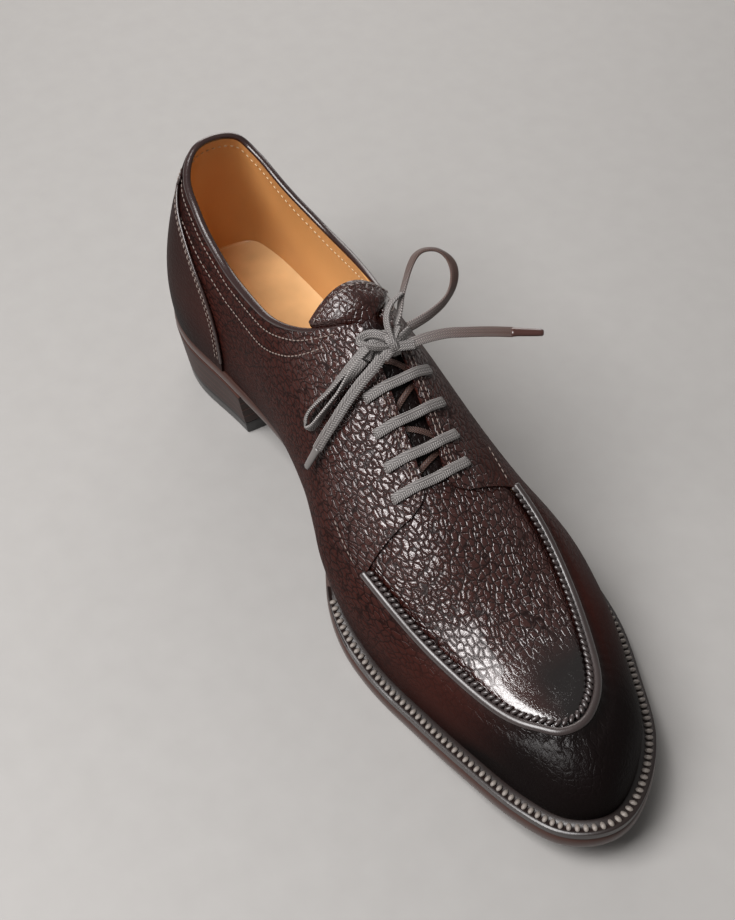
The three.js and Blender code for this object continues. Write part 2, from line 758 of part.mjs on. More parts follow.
function makeAglet({ points }, length) {
  const end = new THREE.Vector3(...points.at(-1));
  const direction = end.clone().sub(new THREE.Vector3(...points.at(-2))).normalize();
  return rodAt(end.addScaledVector(direction, fit + 0.5 * length), direction, agletRadius, length);
}

// Finishes
const finish = (color, roughness) => new THREE.MeshStandardMaterial({ color, roughness, metalness: 0 });
const grainCalf = finish(0x3a1713, 0.42);
const tongueCalf = finish(0x33140f, 0.5);
const tanLining = finish(0xc98a45, 0.6);
const darkEdge = finish(0x1c100c, 0.4);
const soleEdge = finish(0x3b2015, 0.5);
const laceCotton = finish(0x4a4540, 0.8);
const agletBrown = finish(0x3a2019, 0.35);

const pieces = [
  ['upper', withEyelets(makeUpper()), grainCalf],
  ['tongue', makeTongue(), tongueCalf],
  ['insole', makeInsole(), tanLining],
  ['welt', makeWelt(), darkEdge],
  ['outsole', makeOutsole(), soleEdge],
  ['heel_stack', makeHeelStack(), soleEdge],
  ['top_piece', makeTopPiece(), darkEdge],
  ['lace_bars', makeLaceBars(), laceCotton],
  ['lace_knot', makeKnot(), laceCotton],
  ...Object.entries(laceRoutes).map(([name, route]) => [name, makeFreeLace(route), laceCotton]),
  ['aglet_inner', makeAglet(laceRoutes.lace_end_inner, agletInnerLength), agletBrown],
  ['aglet_outer', makeAglet(laceRoutes.lace_end_outer, agletOuterLength), agletBrown],
];

const shoe = new THREE.Group();
pieces.forEach(([name, geometry, material]) => {
  const mesh = new THREE.Mesh(geometry, material);
  mesh.name = name;
  mesh.position.set(-heelCentre, -heelAside, 0);
  shoe.add(mesh);
});

export default shoe;
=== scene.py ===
# Left-foot blucher: pebbled calf upper with a raised apron seam, open lacing and a bow, a welted
# leather sole and a stacked heel. Sizes are millimetres of the shoe, measured from the heel's back,
# and every piece is put into the frame at the end, in metres.

import math

import bmesh
import bpy
import numpy as np
from mathutils import Matrix, Vector


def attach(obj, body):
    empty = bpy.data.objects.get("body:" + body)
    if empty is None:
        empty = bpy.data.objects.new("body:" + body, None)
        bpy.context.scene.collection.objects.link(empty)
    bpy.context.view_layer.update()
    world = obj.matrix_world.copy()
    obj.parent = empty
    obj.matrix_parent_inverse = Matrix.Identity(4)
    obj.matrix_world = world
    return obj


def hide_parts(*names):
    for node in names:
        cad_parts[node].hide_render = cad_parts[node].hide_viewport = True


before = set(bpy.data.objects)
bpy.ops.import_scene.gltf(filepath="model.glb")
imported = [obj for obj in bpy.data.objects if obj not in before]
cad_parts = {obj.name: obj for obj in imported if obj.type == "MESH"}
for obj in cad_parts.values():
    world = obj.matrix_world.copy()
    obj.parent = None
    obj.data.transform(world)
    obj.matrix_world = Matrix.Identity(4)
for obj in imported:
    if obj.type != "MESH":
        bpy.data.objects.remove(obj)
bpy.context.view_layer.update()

# A millimetre in the frame's metres, and the small step that slopes are taken over
MM = 0.001
STEP = 1e-3

# Sizes of the last and of the bottom
LAST_LENGTH = 292
BALL_WIDTH = 81
INSTEP_HEIGHT = 87
TOE_SPRING = 11
BACK_HEIGHT = 69.5
HEEL_STACK = 20
TOP_PIECE = 6
OUTSOLE = 5
WELT = 3
WELT_WIDTH = 5.5
INSOLE = 2.6
SEAT_EDGE = 1.4
WAIST_EDGE = -1.5
HEEL_CENTRE = 35
HEEL_ASIDE = -5.5
HEEL_BREAST = 70
HEEL_TAPER = 3
GROUND_RELIEF = 0.5
FIT = 0.3

# Sizes of the upper
WALL = 1.8
FACING_GAP = 9
FACING_RADIUS = 7
FACING_FRONT = 188
FACING_TOP = 128
VAMP_EDGE = 183
VAMP_DROP = 1.2
TONGUE_TOP = 114
TONGUE_REACH = 25
TONGUE_RISE = 3
TONGUE_DEPTH = 2.6
COUNTER_FOOT = 3.85
COUNTER_LEAN = 2.2
COUNTER_TOP = 0.53
COUNTER_THICK = 0.9
SEAT_FEATHER = TOP_PIECE + HEEL_STACK + OUTSOLE + 3 * FIT
FORE_FEATHER = OUTSOLE + WELT + 2 * FIT

# Sizes of the lacing
LACE_WIDTH = 3.7
LACE_THICK = 1.2
AGLET_RADIUS = 1.5

# Sections of the last from heel back to toe tip, as shares of the sizes above
COLUMNS = (
    "at outer inner lift spring ridge crest full_outer full_inner rise_outer rise_inner "
    "shoulder_outer shoulder_inner seam_outer seam_inner"
).split()
SECTIONS = np.array([
    [0.000, -0.05, 0.05, 1.00, 0.00, 1.00, -0.04, 0.07, 0.09, 0.33, 0.33, 0.78, 0.85, 0.30, 0.30],
    [0.008, 0.135, 0.225, 1.00, 0.00, 1.00, -0.04, 0.07, 0.09, 0.33, 0.33, 0.75, 0.74, 0.30, 0.30],
    [0.050, 0.205, 0.375, 1.00, 0.00, 1.00, -0.04, 0.04, 0.07, 0.33, 0.33, 0.69, 0.50, 0.30, 0.30],
    [0.120, 0.245, 0.420, 1.00, 0.00, 1.00, -0.03, 0.01, -0.01, 0.33, 0.33, 0.67, 0.52, 0.30, 0.30],
    [0.220, 0.280, 0.355, 0.90, 0.00, 1.01, -0.02, 0.065, 0.01, 0.36, 0.36, 0.76, 0.665, 0.30, 0.30],
    [0.340, 0.295, 0.300, 0.68, 0.00, 0.955, -0.01, 0.13, 0.16, 0.42, 0.42, 0.71, 0.69, 0.42, 0.33],
    [0.460, 0.330, 0.330, 0.435, 0.00, 0.925, 0.025, 0.13, 0.22, 0.45, 0.48, 0.56, 0.60, 0.55, 0.37],
    [0.580, 0.447, 0.460, 0.155, 0.00, 0.750, -0.01, 0.095, 0.15, 0.52, 0.55, 0.525, 0.55, 0.59, 0.40],
    [0.680, 0.538, 0.464, 0.010, 0.01, 0.605, -0.07, 0.06, 0.05, 0.60, 0.65, 0.57, 0.55, 0.583, 0.415],
    [0.770, 0.513, 0.407, 0.000, 0.12, 0.433, -0.04, 0.035, 0.025, 0.64, 0.68, 0.56, 0.58, 0.60, 0.45],
    [0.860, 0.398, 0.343, 0.000, 0.42, 0.325, -0.04, 0.025, 0.02, 0.68, 0.70, 0.60, 0.62, 0.65, 0.545],
    [0.930, 0.281, 0.284, 0.000, 0.72, 0.253, -0.043, 0.02, 0.02, 0.70, 0.70, 0.65, 0.65, 0.73, 0.70],
    [0.980, 0.111, 0.198, 0.000, 0.93, 0.226, -0.05, 0.012, 0.012, 0.70, 0.70, 0.65, 0.65, 0.768, 0.765],
    [1.000, -0.05, 0.05, 0.000, 1.05, 0.212, -0.05, 0.012, 0.012, 0.70, 0.70, 0.65, 0.65, 0.79, 0.79],
])
SECTION = {name: SECTIONS[:, k] for k, name in enumerate(COLUMNS)}
TOE = len(SECTIONS) - 1
TURN = 2 * TOE
TOPLINE = np.array([
    [0.000, 1.000], [0.027, 0.935], [0.103, 0.850], [0.165, 0.760], [0.223, 0.702],
    [0.308, 0.722], [0.377, 0.815], [0.4315, 0.945], [0.470, 1.050],
])


# The last: places round the feather run from the heel's back (0) along the inner side to the
# toe (TOE) and back along the outer side (TURN), and shares run from the feather up to the ridge
def round_of(inner, outer, sign=1):
    return np.concatenate([sign * SECTION[inner], SECTION[outer][-2:0:-1]])


ROUND = {
    "x": round_of("at", "at") * LAST_LENGTH,
    "y": round_of("inner", "outer", -1) * BALL_WIDTH,
    "full": round_of("full_inner", "full_outer") * BALL_WIDTH,
    "lift": round_of("lift", "lift"),
    "spring": round_of("spring", "spring"),
    "rise": round_of("rise_inner", "rise_outer"),
    "shoulder": round_of("shoulder_inner", "shoulder_outer"),
    "seam": round_of("seam_inner", "seam_outer"),
}


def spline(a, b, c, d, f):
    """Smooth curve from b to c, at a share f of the way, with a before them and d after."""
    return 0.5 * (
        2 * b + (c - a) * f + (2 * a - 5 * b + 4 * c - d) * f**2 + (3 * b - a - 3 * c + d) * f**3)


def around(name, t):
    """A measure of the last at a place round the feather."""
    k = np.floor(t).astype(int)
    return spline(*(ROUND[name][(k + step) % TURN] for step in (-1, 0, 1, 2)), t - k)


def monotone(xs, ys):
    """Smooth curve through points that never overshoots them."""
    width = np.diff(xs)
    slope = np.diff(ys) / width
    tangent = np.zeros(len(xs))
    tangent[0], tangent[-1] = slope[0], slope[-1]
    for k in range(1, len(xs) - 1):
        if slope[k - 1] * slope[k] > 0:
            before = 2 * width[k] + width[k - 1]
            after = width[k] + 2 * width[k - 1]
            tangent[k] = (before + after) / (before / slope[k - 1] + after / slope[k])

    def at(x):
        k = np.clip(np.searchsorted(xs, x) - 1, 0, len(xs) - 2)
        f = np.clip((x - xs[k]) / width[k], 0, 1)
        g = 1 - f
        return (
            ys[k] * (1 + 2 * f) * g**2 + tangent[k] * width[k] * f * g**2
            + ys[k + 1] * f**2 * (3 - 2 * f) - tangent[k + 1] * width[k] * f**2 * g
        )

    return at


def feather_height(lift, spring):
    climb = (SEAT_FEATHER - FORE_FEATHER) * lift + TOE_SPRING * spring
    return FORE_FEATHER + np.maximum(0, climb - GROUND_RELIEF * (1 - lift))


def feather_at(t):
    return feather_height(around("lift", t), around("spring", t))


section_x = SECTION["at"] * LAST_LENGTH
ridge_height = monotone(
    section_x, feather_height(SECTION["lift"], SECTION["spring"]) + SECTION["ridge"] * INSTEP_HEIGHT)
crest_offset = monotone(section_x, SECTION["crest"] * BALL_WIDTH)
topline_height = monotone(TOPLINE[:, 0] * LAST_LENGTH, SEAT_FEATHER + TOPLINE[:, 1] * BACK_HEIGHT)
SPINE_START = 0.11 * LAST_LENGTH
SPINE_END = 0.884 * LAST_LENGTH
SPINE_EASE = 14


def spine_at(x):
    a = 0.5 * (x + SPINE_START + np.hypot(x - SPINE_START, SPINE_EASE))
    return 0.5 * (a + SPINE_END - np.hypot(a - SPINE_END, SPINE_EASE))


def side_curve(t):
    x, y = around("x", t), around("y", t)
    feather = feather_at(t)
    spine_x = spine_at(x)
    spine_y = crest_offset(spine_x)
    top = ridge_height(spine_x)
    reach = np.hypot(x - spine_x, y - spine_y)
    return {
        "spine_x": spine_x, "spine_y": spine_y, "feather": feather, "top": top, "reach": reach,
        "dir_x": (x - spine_x) / reach, "dir_y": (y - spine_y) / reach,
        "side_reach": reach + around("full", t),
        "side_height": feather + around("rise", t) * (top - feather),
        "shoulder_reach": reach * around("shoulder", t),
    }


def reach_of(curve, w):
    v = 1 - w
    side, shoulder = curve["side_reach"], curve["shoulder_reach"]
    return v**3 * curve["reach"] + 3 * w * v**2 * side + 3 * w**2 * v * shoulder


def last_point(t, w):
    curve = side_curve(t)
    v = 1 - w
    reach = reach_of(curve, w)
    height = (
        v**3 * curve["feather"] + 3 * w * v**2 * curve["side_height"]
        + (3 * w**2 * v + w**3) * curve["top"])
    x = curve["spine_x"] + curve["dir_x"] * reach
    return np.stack([x, curve["spine_y"] + curve["dir_y"] * reach, height], -1)


def unit(vectors):
    return vectors / np.maximum(np.linalg.norm(vectors, axis=-1, keepdims=True), 1e-9)


def square_to(along, out):
    """Unit vectors square to along, as near as can be to out."""
    return unit(out - along * np.sum(out * along, -1, keepdims=True))


def run_along(points):
    """Length of a line up to each of its points."""
    return np.concatenate([[0], np.cumsum(np.linalg.norm(np.diff(points, axis=0), axis=1))])


def read_along(where, steps, rows):
    """Rows of numbers known at some steps of a line, read at other places of it."""
    return np.stack([np.interp(where, steps, column) for column in np.transpose(rows)], -1)


def ridge_normal(x):
    slope = ridge_height(x + 0.5) - ridge_height(x - 0.5)
    return unit(np.stack([-slope, np.zeros_like(slope), np.ones_like(slope)], -1))


# The side's own outward vectors lie level at the feather and give way to the ridge's at the top
LEVEL_BELOW = 0.1
RIDGE_ABOVE = 0.97
HALVINGS = 36


def last_normal(t, w):
    w_near = np.minimum(w, 0.995)
    along = last_point(t + STEP, w_near) - last_point(t - STEP, w_near)
    up = last_point(t, np.minimum(w + STEP, 1)) - last_point(t, np.maximum(w - STEP, 0))
    normal = unit(np.cross(along, up))
    normal[..., 2] *= np.minimum(1, w / LEVEL_BELOW)
    to_ridge = (np.maximum(0, (w - RIDGE_ABOVE) / (1 - RIDGE_ABOVE)) ** 2)[..., None]
    return unit(unit(normal) * (1 - to_ridge) + ridge_normal(side_curve(t)["spine_x"]) * to_ridge)


def on_last(t, w, offset=0.0):
    """Points that stand some millimetres off the last."""
    t, w, offset = np.broadcast_arrays(*(np.asarray(value, float) for value in (t, w, offset)))
    return last_point(t, w) + last_normal(t, w) * offset[..., None]


def bisect(low, high, shape, is_low):
    """The value between low and high where is_low stops being true."""
    a = np.full(shape, float(low))
    b = np.full(shape, float(high))
    for _ in range(HALVINGS):
        middle = 0.5 * (a + b)
        keep = is_low(middle)
        a = np.where(keep, middle, a)
        b = np.where(keep, b, middle)
    return 0.5 * (a + b)


def place_at(x, side):
    x = np.asarray(x, float)
    t = bisect(0, TOE, x.shape, lambda k: around("x", k) < x)
    return np.where(np.asarray(side) < 0, t, TURN - t)


def share_at_reach(t, reach):
    t = np.asarray(t, float)
    curve = side_curve(t)
    return bisect(0.4, 1, t.shape, lambda w: reach_of(curve, w) > reach)


def share_at_height(t, height):
    t = np.asarray(t, float)
    return bisect(0.05, 1, t.shape, lambda w: last_point(t, w)[..., 2] < height)


def rest_on(x, side, reach, offset):
    """A point over or under the facings, reach millimetres from the ridge."""
    t = place_at(x, side)
    return on_last(t, share_at_reach(t, reach), offset)


FRONT = float(place_at(FACING_FRONT, -1))
FACING_START = float(place_at(FACING_TOP, -1))


def folded(t):
    """The same place on the inner side, for a place on either side."""
    t = np.mod(t, TURN)
    return np.where(t <= TOE, t, TURN - t)


def top_share(t):
    """Share of the quarters' upper edge: the topline, then the facing's edge and its front corner."""
    t = np.mod(np.asarray(t, float), TURN)
    place = folded(t)
    x = around("x", t)
    collar = np.where(place < FACING_START + 1.5, share_at_height(t, topline_height(x)), 1)
    back = np.clip(FACING_RADIUS - np.maximum(0, FACING_FRONT - x), 0, FACING_RADIUS)
    corner = FACING_RADIUS - np.sqrt(FACING_RADIUS**2 - back**2)
    facing = np.minimum(collar, share_at_reach(t, FACING_GAP / 2 + corner))
    return np.where(place < FACING_START - 1.2, collar, facing)


# The apron seam's shares are read a little inside its two ends
SEAM_END = 1e-3


def seam_share(t):
    t = np.asarray(t, float)
    chosen = around("seam", np.mod(t, TURN))
    return np.where(folded(t) > FRONT, chosen, np.minimum(chosen, 0.7 * top_share(t)))


def along_seam(t):
    return seam_share(np.clip(t, FRONT + SEAM_END, TURN - FRONT - SEAM_END))


def smooth(x, low, high):
    f = np.clip((x - low) / (high - low), 0, 1)
    return f * f * (3 - 2 * f)


def bump(x, middle, half):
    """A rounded hump, one at the middle and nothing past half its width."""
    return np.cos(0.5 * np.pi * np.clip((x - middle) / half, -1, 1)) ** 2


# Places of the shoe in the frame
SHIFT = np.array([-HEEL_CENTRE, -HEEL_ASIDE, 0.0])
MIDDLE = (120, 0, 30)
UP = np.array([0.0, 0.0, 1.0])


def in_frame(points):
    return (np.asarray(points, float) + SHIFT) * MM


# Making meshes
def finish_mesh(name, bm, material, sharp_angle=None):
    mesh = bpy.data.meshes.new(name)
    bm.to_mesh(mesh)
    bm.free()
    mesh.materials.append(material)
    mesh.polygons.foreach_set("use_smooth", np.ones(len(mesh.polygons), bool))
    if sharp_angle is not None:
        mesh.set_sharp_from_angle(angle=math.radians(sharp_angle))
    piece = bpy.data.objects.new(name, mesh)
    bpy.context.scene.collection.objects.link(piece)
    return piece


def finish_closed(name, bm, material, sharp_angle=None):
    """Finishes a closed shape, once its faces are turned outwards."""
    bmesh.ops.recalc_face_normals(bm, faces=bm.faces)
    return finish_mesh(name, bm, material, sharp_angle)


def add_sheet(bm, columns, rows, place, masks=None):
    """Adds a grid whose vertices go to place(u, v), in millimetres, with named masks on it."""
    masks = masks or {}
    for key in masks:
        if bm.verts.layers.float.get(key) is None:
            bm.verts.layers.float.new(key)
    made = bmesh.ops.create_grid(bm, x_segments=columns, y_segments=rows, size=0.5)["verts"]
    u, v = (np.array([vert.co[:2] for vert in made]) + 0.5).T
    for vert, point in zip(made, in_frame(place(u, v))):
        vert.co = point
    for key, values in masks.items():
        layer = bm.verts.layers.float[key]
        for vert, number in zip(made, np.broadcast_to(values(u, v), len(made))):
            vert[layer] = number
    return made


def weld(bm, distance=1e-5):
    bmesh.ops.remove_doubles(bm, verts=bm.verts, dist=distance)
    bmesh.ops.dissolve_degenerate(bm, edges=bm.edges, dist=1e-6)


def close_holes(bm):
    bmesh.ops.holes_fill(bm, edges=[edge for edge in bm.edges if edge.is_boundary], sides=0)


def thicken(bm, thickness):
    """Turns an open sheet to face out of the shoe, and gives it a wall on its inner side."""
    bmesh.ops.recalc_face_normals(bm, faces=bm.faces)
    inside = Vector(in_frame(MIDDLE))
    facing = sum(
        (face.calc_center_median() - inside).dot(face.normal) * face.calc_area() for face in bm.faces)
    if facing < 0:
        bmesh.ops.reverse_faces(bm, faces=bm.faces)
    bm.normal_update()
    bmesh.ops.solidify(bm, geom=bm.faces[:], thickness=thickness * MM)
    if bm.calc_volume(signed=True) < 0:
        bmesh.ops.reverse_faces(bm, faces=bm.faces)


# Materials
class Value:
    """A shader socket that takes Python's arithmetic."""

    def __init__(self, shade, socket):
        self.shade = shade
        self.socket = socket

    def math(self, operation, *others):
        return self.shade.maths(operation, self, *others)

    def __add__(self, other):
        return self.math("ADD", other)

    def __sub__(self, other):
        return self.math("SUBTRACT", other)

    def __rsub__(self, other):
        return self.shade.maths("SUBTRACT", other, self)

    def __mul__(self, other):
        return self.math("MULTIPLY", other)

    __radd__ = __add__
    __rmul__ = __mul__


class Shade:
    """One material and the nodes that it is made of."""

    def __init__(self, name):
        self.material = bpy.data.materials.new(name)
        self.material.use_nodes = True
        self.tree = self.material.node_tree
        self.tree.nodes.clear()

    def node(self, kind, settings, sockets, out=0):
        made = self.tree.nodes.new(kind)
        for key, value in settings.items():
            setattr(made, key, value)
        for key, value in sockets.items():
            if isinstance(value, Value):
                self.tree.links.new(value.socket, made.inputs[key])
            else:
                made.inputs[key].default_value = value
        return Value(self, made.outputs[out])

    def maths(self, operation, *values):
        return self.node("ShaderNodeMath", {"operation": operation}, dict(enumerate(values)))

    def place(self, scale=(1, 1, 1), turn=(0, 0, 0)):
        coordinates = self.node("ShaderNodeTexCoord", {}, {}, "Object")
        return self.node(
            "ShaderNodeMapping", {}, {"Vector": coordinates, "Scale": scale, "Rotation": turn})

    def mask(self, name):
        return self.node("ShaderNodeAttribute", {"attribute_name": name}, {}, "Fac")

    def noise(self, vector, scale, detail=3, roughness=0.5, out="Fac"):
        sockets = {"Vector": vector, "Scale": scale, "Detail": detail, "Roughness": roughness}
        return self.node("ShaderNodeTexNoise", {}, sockets, out)

    def warp(self, vector, scale, amount):
        """The same coordinates, pushed about by a soft noise."""
        kind = "ShaderNodeVectorMath"
        push = self.noise(vector, scale, 2, out="Color")
        centred = self.node(kind, {"operation": "SUBTRACT"}, {0: push, 1: (0.5, 0.5, 0.5)})
        sized = self.node(kind, {"operation": "SCALE"}, {0: centred, "Scale": amount})
        return self.node(kind, {"operation": "ADD"}, {0: vector, 1: sized})

    def cells(self, vector, scale):
        """Distance to the nearest edge between rounded cells."""
        return self.node(
            "ShaderNodeTexVoronoi", {"feature": "DISTANCE_TO_EDGE"}, {"Vector": vector, "Scale": scale},
            "Distance")

    def span(self, value, low, high):
        """A smooth step of the value from low to high."""
        sockets = {"Value": value, "From Min": low, "From Max": high}
        return self.node("ShaderNodeMapRange", {"interpolation_type": "SMOOTHSTEP"}, sockets)

    def mix(self, factor, low, high):
        low = low if isinstance(low, Value) else (*low, 1)
        high = high if isinstance(high, Value) else (*high, 1)
        return self.node("ShaderNodeMix", {"data_type": "RGBA"}, {0: factor, 6: low, 7: high}, 2)

    def tones(self, factor, colour, dark, light):
        """A darker to a lighter tone of one colour."""
        return self.mix(factor, [c * dark for c in colour], [min(1, c * light) for c in colour])

    def relief(self, height, distance):
        """Bump of that many metres where height is one."""
        return self.node("ShaderNodeBump", {}, {"Height": height, "Distance": distance, "Strength": 1.0})

    def finish(self, colour, roughness, normal=None, coat=0.0, coat_roughness=0.1, gloss=None, **others):
        """The material; where gloss is nought it is dull and throws back little of the room."""
        sockets = {
            "Base Color": colour, "Roughness": roughness, "Coat Weight": coat,
            "Coat Roughness": coat_roughness, **others,
        }
        if normal is not None:
            sockets["Normal"] = normal
        shader = self.node("ShaderNodeBsdfPrincipled", {}, sockets, "BSDF")
        if gloss is not None:
            plain = self.node("ShaderNodeBsdfPrincipled", {}, {**sockets, **DULL}, "BSDF")
            shader = self.node("ShaderNodeMixShader", {}, {0: gloss, 1: plain, 2: shader})
        out = self.tree.nodes.new("ShaderNodeOutputMaterial")
        self.tree.links.new(shader.socket, out.inputs["Surface"])
        return self.material


DULL = {"Roughness": 0.6, "IOR": 1.25, "Specular IOR Level": 0.2, "Coat Weight": 0.0}

# Colours of the shoe, linear
BURGUNDY = (0.024, 0.0052, 0.0038)
BURGUNDY_LIGHT = (0.043, 0.0105, 0.007)
# Painted shade for the creases between the pebbles
BURGUNDY_CREASE_SHADE = (0.005, 0.0017, 0.0014)
# Wax black on the toe and heel, and painted shade on the tongue under the lacing
WAX_AND_SHADE_BLACK = (0.0036, 0.0018, 0.0017)
THREAD = (0.20, 0.155, 0.135)
# Pebbles and pits in a metre, and the pebbles' height in metres
PEBBLES = 500
PITS = 1500
PEBBLE_RELIEF = 0.0004


def grain_calf():
    """Pebbled calf: masks say where it is pebbled, darkened by wax or by painted shade, polished, and
    facing up.
    """
    s = Shade("grain_calf")
    here = s.place()
    pebble, burnish, polish, gloss = (s.mask(name) for name in ("pebble", "burnish", "polish", "gloss"))
    lengthways = s.place(scale=(0.56, 1, 1), turn=(0, 0, 0.28))
    large = s.cells(s.warp(lengthways, 300, 0.002), PEBBLES)
    small = s.cells(s.warp(here, 900, 0.0006), PITS)
    pores = s.noise(here, 3000, 2)
    patch = s.noise(here, 40, 3)
    hill = s.span(large, 0.0, 0.19) * 0.62 + s.span(large, 0.08, 0.6) * 0.38
    pits = s.span(small, 0.0, 0.3)
    height = hill * (pebble * 0.95 + 0.03) + pits * 0.08 + pores * 0.05
    normal = s.relief(height, PEBBLE_RELIEF)
    # Painted shade: the colour darkens in the creases between the pebbles
    valley = (1 - s.span(large, 0.0, 0.13)) * pebble
    worn = s.mix(patch, BURGUNDY, BURGUNDY_LIGHT)
    base = s.mix(1 - valley * 0.92, BURGUNDY_CREASE_SHADE, worn)
    # Wax darkens the toe and heel; on the tongue under the lacing the same darkening is painted shade
    colour = s.mix(burnish, base, WAX_AND_SHADE_BLACK)
    roughness = 0.17 + patch * 0.06 + valley * 0.3 - polish * 0.03
    shine = gloss * (1 - valley * 0.85)
    return s.finish(
        colour, roughness, normal, coat=polish * 0.7, coat_roughness=0.07, gloss=shine, IOR=1.75)


def plain_calf(name, colour, roughness=0.35, relief=0.00008, coat=0.4, coat_roughness=0.18):
    s = Shade(name)
    here = s.place()
    fine = s.noise(here, 1400, 3)
    patch = s.noise(here, 60, 2)
    tone = s.tones(patch, colour, 0.7, 1.35)
    return s.finish(
        tone, patch * 0.1 + (roughness - 0.05), s.relief(fine, relief), coat=coat,
        coat_roughness=coat_roughness)


def tan_lining():
    s = Shade("tan_lining")
    here = s.place()
    fine = s.noise(here, 900, 4)
    cloud = s.noise(here, 22, 3)
    tone = s.mix(cloud, (0.56, 0.27, 0.085), (0.72, 0.38, 0.14))
    return s.finish(tone, 0.42, s.relief(fine, 0.00006), coat=0.1, coat_roughness=0.3)


def twisted_thread(name, colour):
    s = Shade(name)
    fibre = s.noise(s.place(), 4200, 2)
    return s.finish(s.tones(fibre, colour, 0.6, 1.5), 0.45, s.relief(fibre, 0.00006))


# Ribs of the braid for a millimetre along the lace and across it, and its columns across
RIBS_ALONG = 1.15
RIBS_ACROSS = 1.4
COLUMNS_ACROSS = 1.1


def woven_lace():
    """Flat braid: the masks along and across, in millimetres, carry its herringbone, and a third mask
    darkens the lace to a painted-shade brown.
    """
    s = Shade("waxed_lace")
    along, across, lace_shade = (s.mask(name) for name in ("along", "across", "lace_shade"))
    slant = (along * RIBS_ALONG + across.math("ABSOLUTE") * RIBS_ACROSS) * (2 * math.pi)
    ribs = slant.math("SINE") * 0.5 + 0.5
    columns = (across * (2 * math.pi * COLUMNS_ACROSS)).math("COSINE") * 0.5 + 0.5
    weave = ribs * (columns * 0.6 + 0.4)
    fibre = s.noise(s.place(), 3600, 2)
    # Painted shade: the braid's grooves are much darker than its ribs
    grey = s.mix(weave, (0.025, 0.022, 0.021), (0.46, 0.43, 0.415))
    shaded_brown = s.mix(weave, (0.018, 0.008, 0.006), (0.15, 0.075, 0.056))
    # Painted shade: the lace darkens from grey to brown where its mask says
    return s.finish(
        s.mix(lace_shade, grey, shaded_brown), 0.5, s.relief(weave + fibre * 0.4, 0.00022), coat=0.1,
        coat_roughness=0.35)


def edge_leather(name, colour, grooved=False, roughness=0.32, coat=0.4):
    """Cut leather edge, stained and waxed, with dark lines where the mask lift says so."""
    s = Shade(name)
    here = s.place(scale=(1, 1, 5))
    streak = s.noise(here, 420, 4, 0.6)
    height = streak * 0.5
    tone = s.tones(s.noise(here, 30, 2), colour, 0.72, 1.3)
    if grooved:
        groove = s.mask("lift")
        height = height + groove
        tone = s.mix(1 - groove, tone, [c * 0.35 for c in colour])
    return s.finish(
        tone, streak * 0.12 + roughness, s.relief(height, 0.00012), coat=coat, coat_roughness=0.2)


CALF = grain_calf()
ROLL_CALF = plain_calf("collar_calf", (0.022, 0.010, 0.009), 0.26)
BEAD_CALF = plain_calf("bead_calf", (0.026, 0.017, 0.016), 0.4, 0.00006, 1.0, 0.3)
LINING = tan_lining()
SOCK = plain_calf("sock_leather", (0.74, 0.47, 0.22), 0.45, 0.00005)
STITCH = twisted_thread("thread", THREAD)
LINING_STITCH = twisted_thread("lining_thread", (0.55, 0.42, 0.26))
WELT_THREAD = twisted_thread("welt_thread", (0.215, 0.188, 0.168))
LACE = woven_lace()
# Painted shade: the outer tip's film is a dark brown copy of the grey film on the inner tip
SHADED_AGLET = plain_calf("aglet_film", (0.05, 0.02, 0.016), 0.22, 0.00002)
GREY_AGLET = plain_calf("grey_aglet_film", (0.12, 0.11, 0.105), 0.28, 0.00002)
WELT_LEATHER = edge_leather("welt_leather", (0.014, 0.008, 0.007), roughness=0.3)
SOLE_LEATHER = edge_leather("sole_leather", (0.040, 0.014, 0.009))
HEEL_LEATHER = edge_leather("heel_leather", (0.058, 0.017, 0.010), True, 0.55, 0.04)
RUBBER = plain_calf("heel_rubber", (0.008, 0.007, 0.007), 0.5)


# Where the leather is pebbled, where it is polished dark, and where it faces up
def girth(t):
    """Millimetres of the side for a share of one, at a place."""
    return np.linalg.norm(on_last(t, 0.9) - on_last(t, 0.3), axis=-1) / 0.6


def pebble_mask(t, w):
    x, y, _ = np.moveaxis(on_last(t, w), -1, 0)
    low = 1 - smooth(w, 0.02, 0.3)
    return np.clip(1 - 0.72 * smooth(x, 192, 240) - 0.4 * low - 0.45 * smooth(y, 6, 24), 0.12, 1)


def burnish_mask(t, w):
    # Darker at the toe and the heel, and the sides darker towards the feather
    x = on_last(t, w)[..., 0]
    toe = smooth(x, 222, 268)
    heel = 0.5 * (1 - smooth(x, 10, 60))
    foot = 0.45 * (1 - smooth(w, 0.0, 0.2))
    return np.clip(toe + heel + foot, 0, 1)


def polish_mask(t, w):
    return 0.22 * smooth(on_last(t, w)[..., 0], 232, 266)


def gloss_mask(t, w):
    """The upper side of the leather is glossed, and the toe's wall and the low sides stay duller."""
    x, y, _ = np.moveaxis(on_last(t, w), -1, 0)
    faces_up = 0.05 + 0.95 * smooth(last_normal(t, w)[..., 2], 0.28, 0.72)
    upper = faces_up * (1 - 0.75 * smooth(y, 9, 22))
    away = (seam_share(t) - w) * girth(t)
    toe = smooth(x, 200, 235)
    return np.clip(upper * (1 - 0.95 * toe) + 0.35 * toe * np.exp(-np.abs(away) / 2.5), 0, 1)


LEATHER_MASKS = {
    "pebble": pebble_mask, "burnish": burnish_mask, "polish": polish_mask, "gloss": gloss_mask,
}
SEAM_T = np.linspace(FRONT, TURN - FRONT, 900)
SEAM_LENGTH = run_along(on_last(SEAM_T, seam_share(SEAM_T)))
STITCH_PITCH = 2.35


def seam_length(t):
    return np.interp(t, SEAM_T, SEAM_LENGTH)


# Quarters and side wall, one leather from the facings round the toe
LOW_ROWS = 38
HIGH_ROWS = 40
CALF_THICK = 1.25
PUCKER_PITCH = 4.1


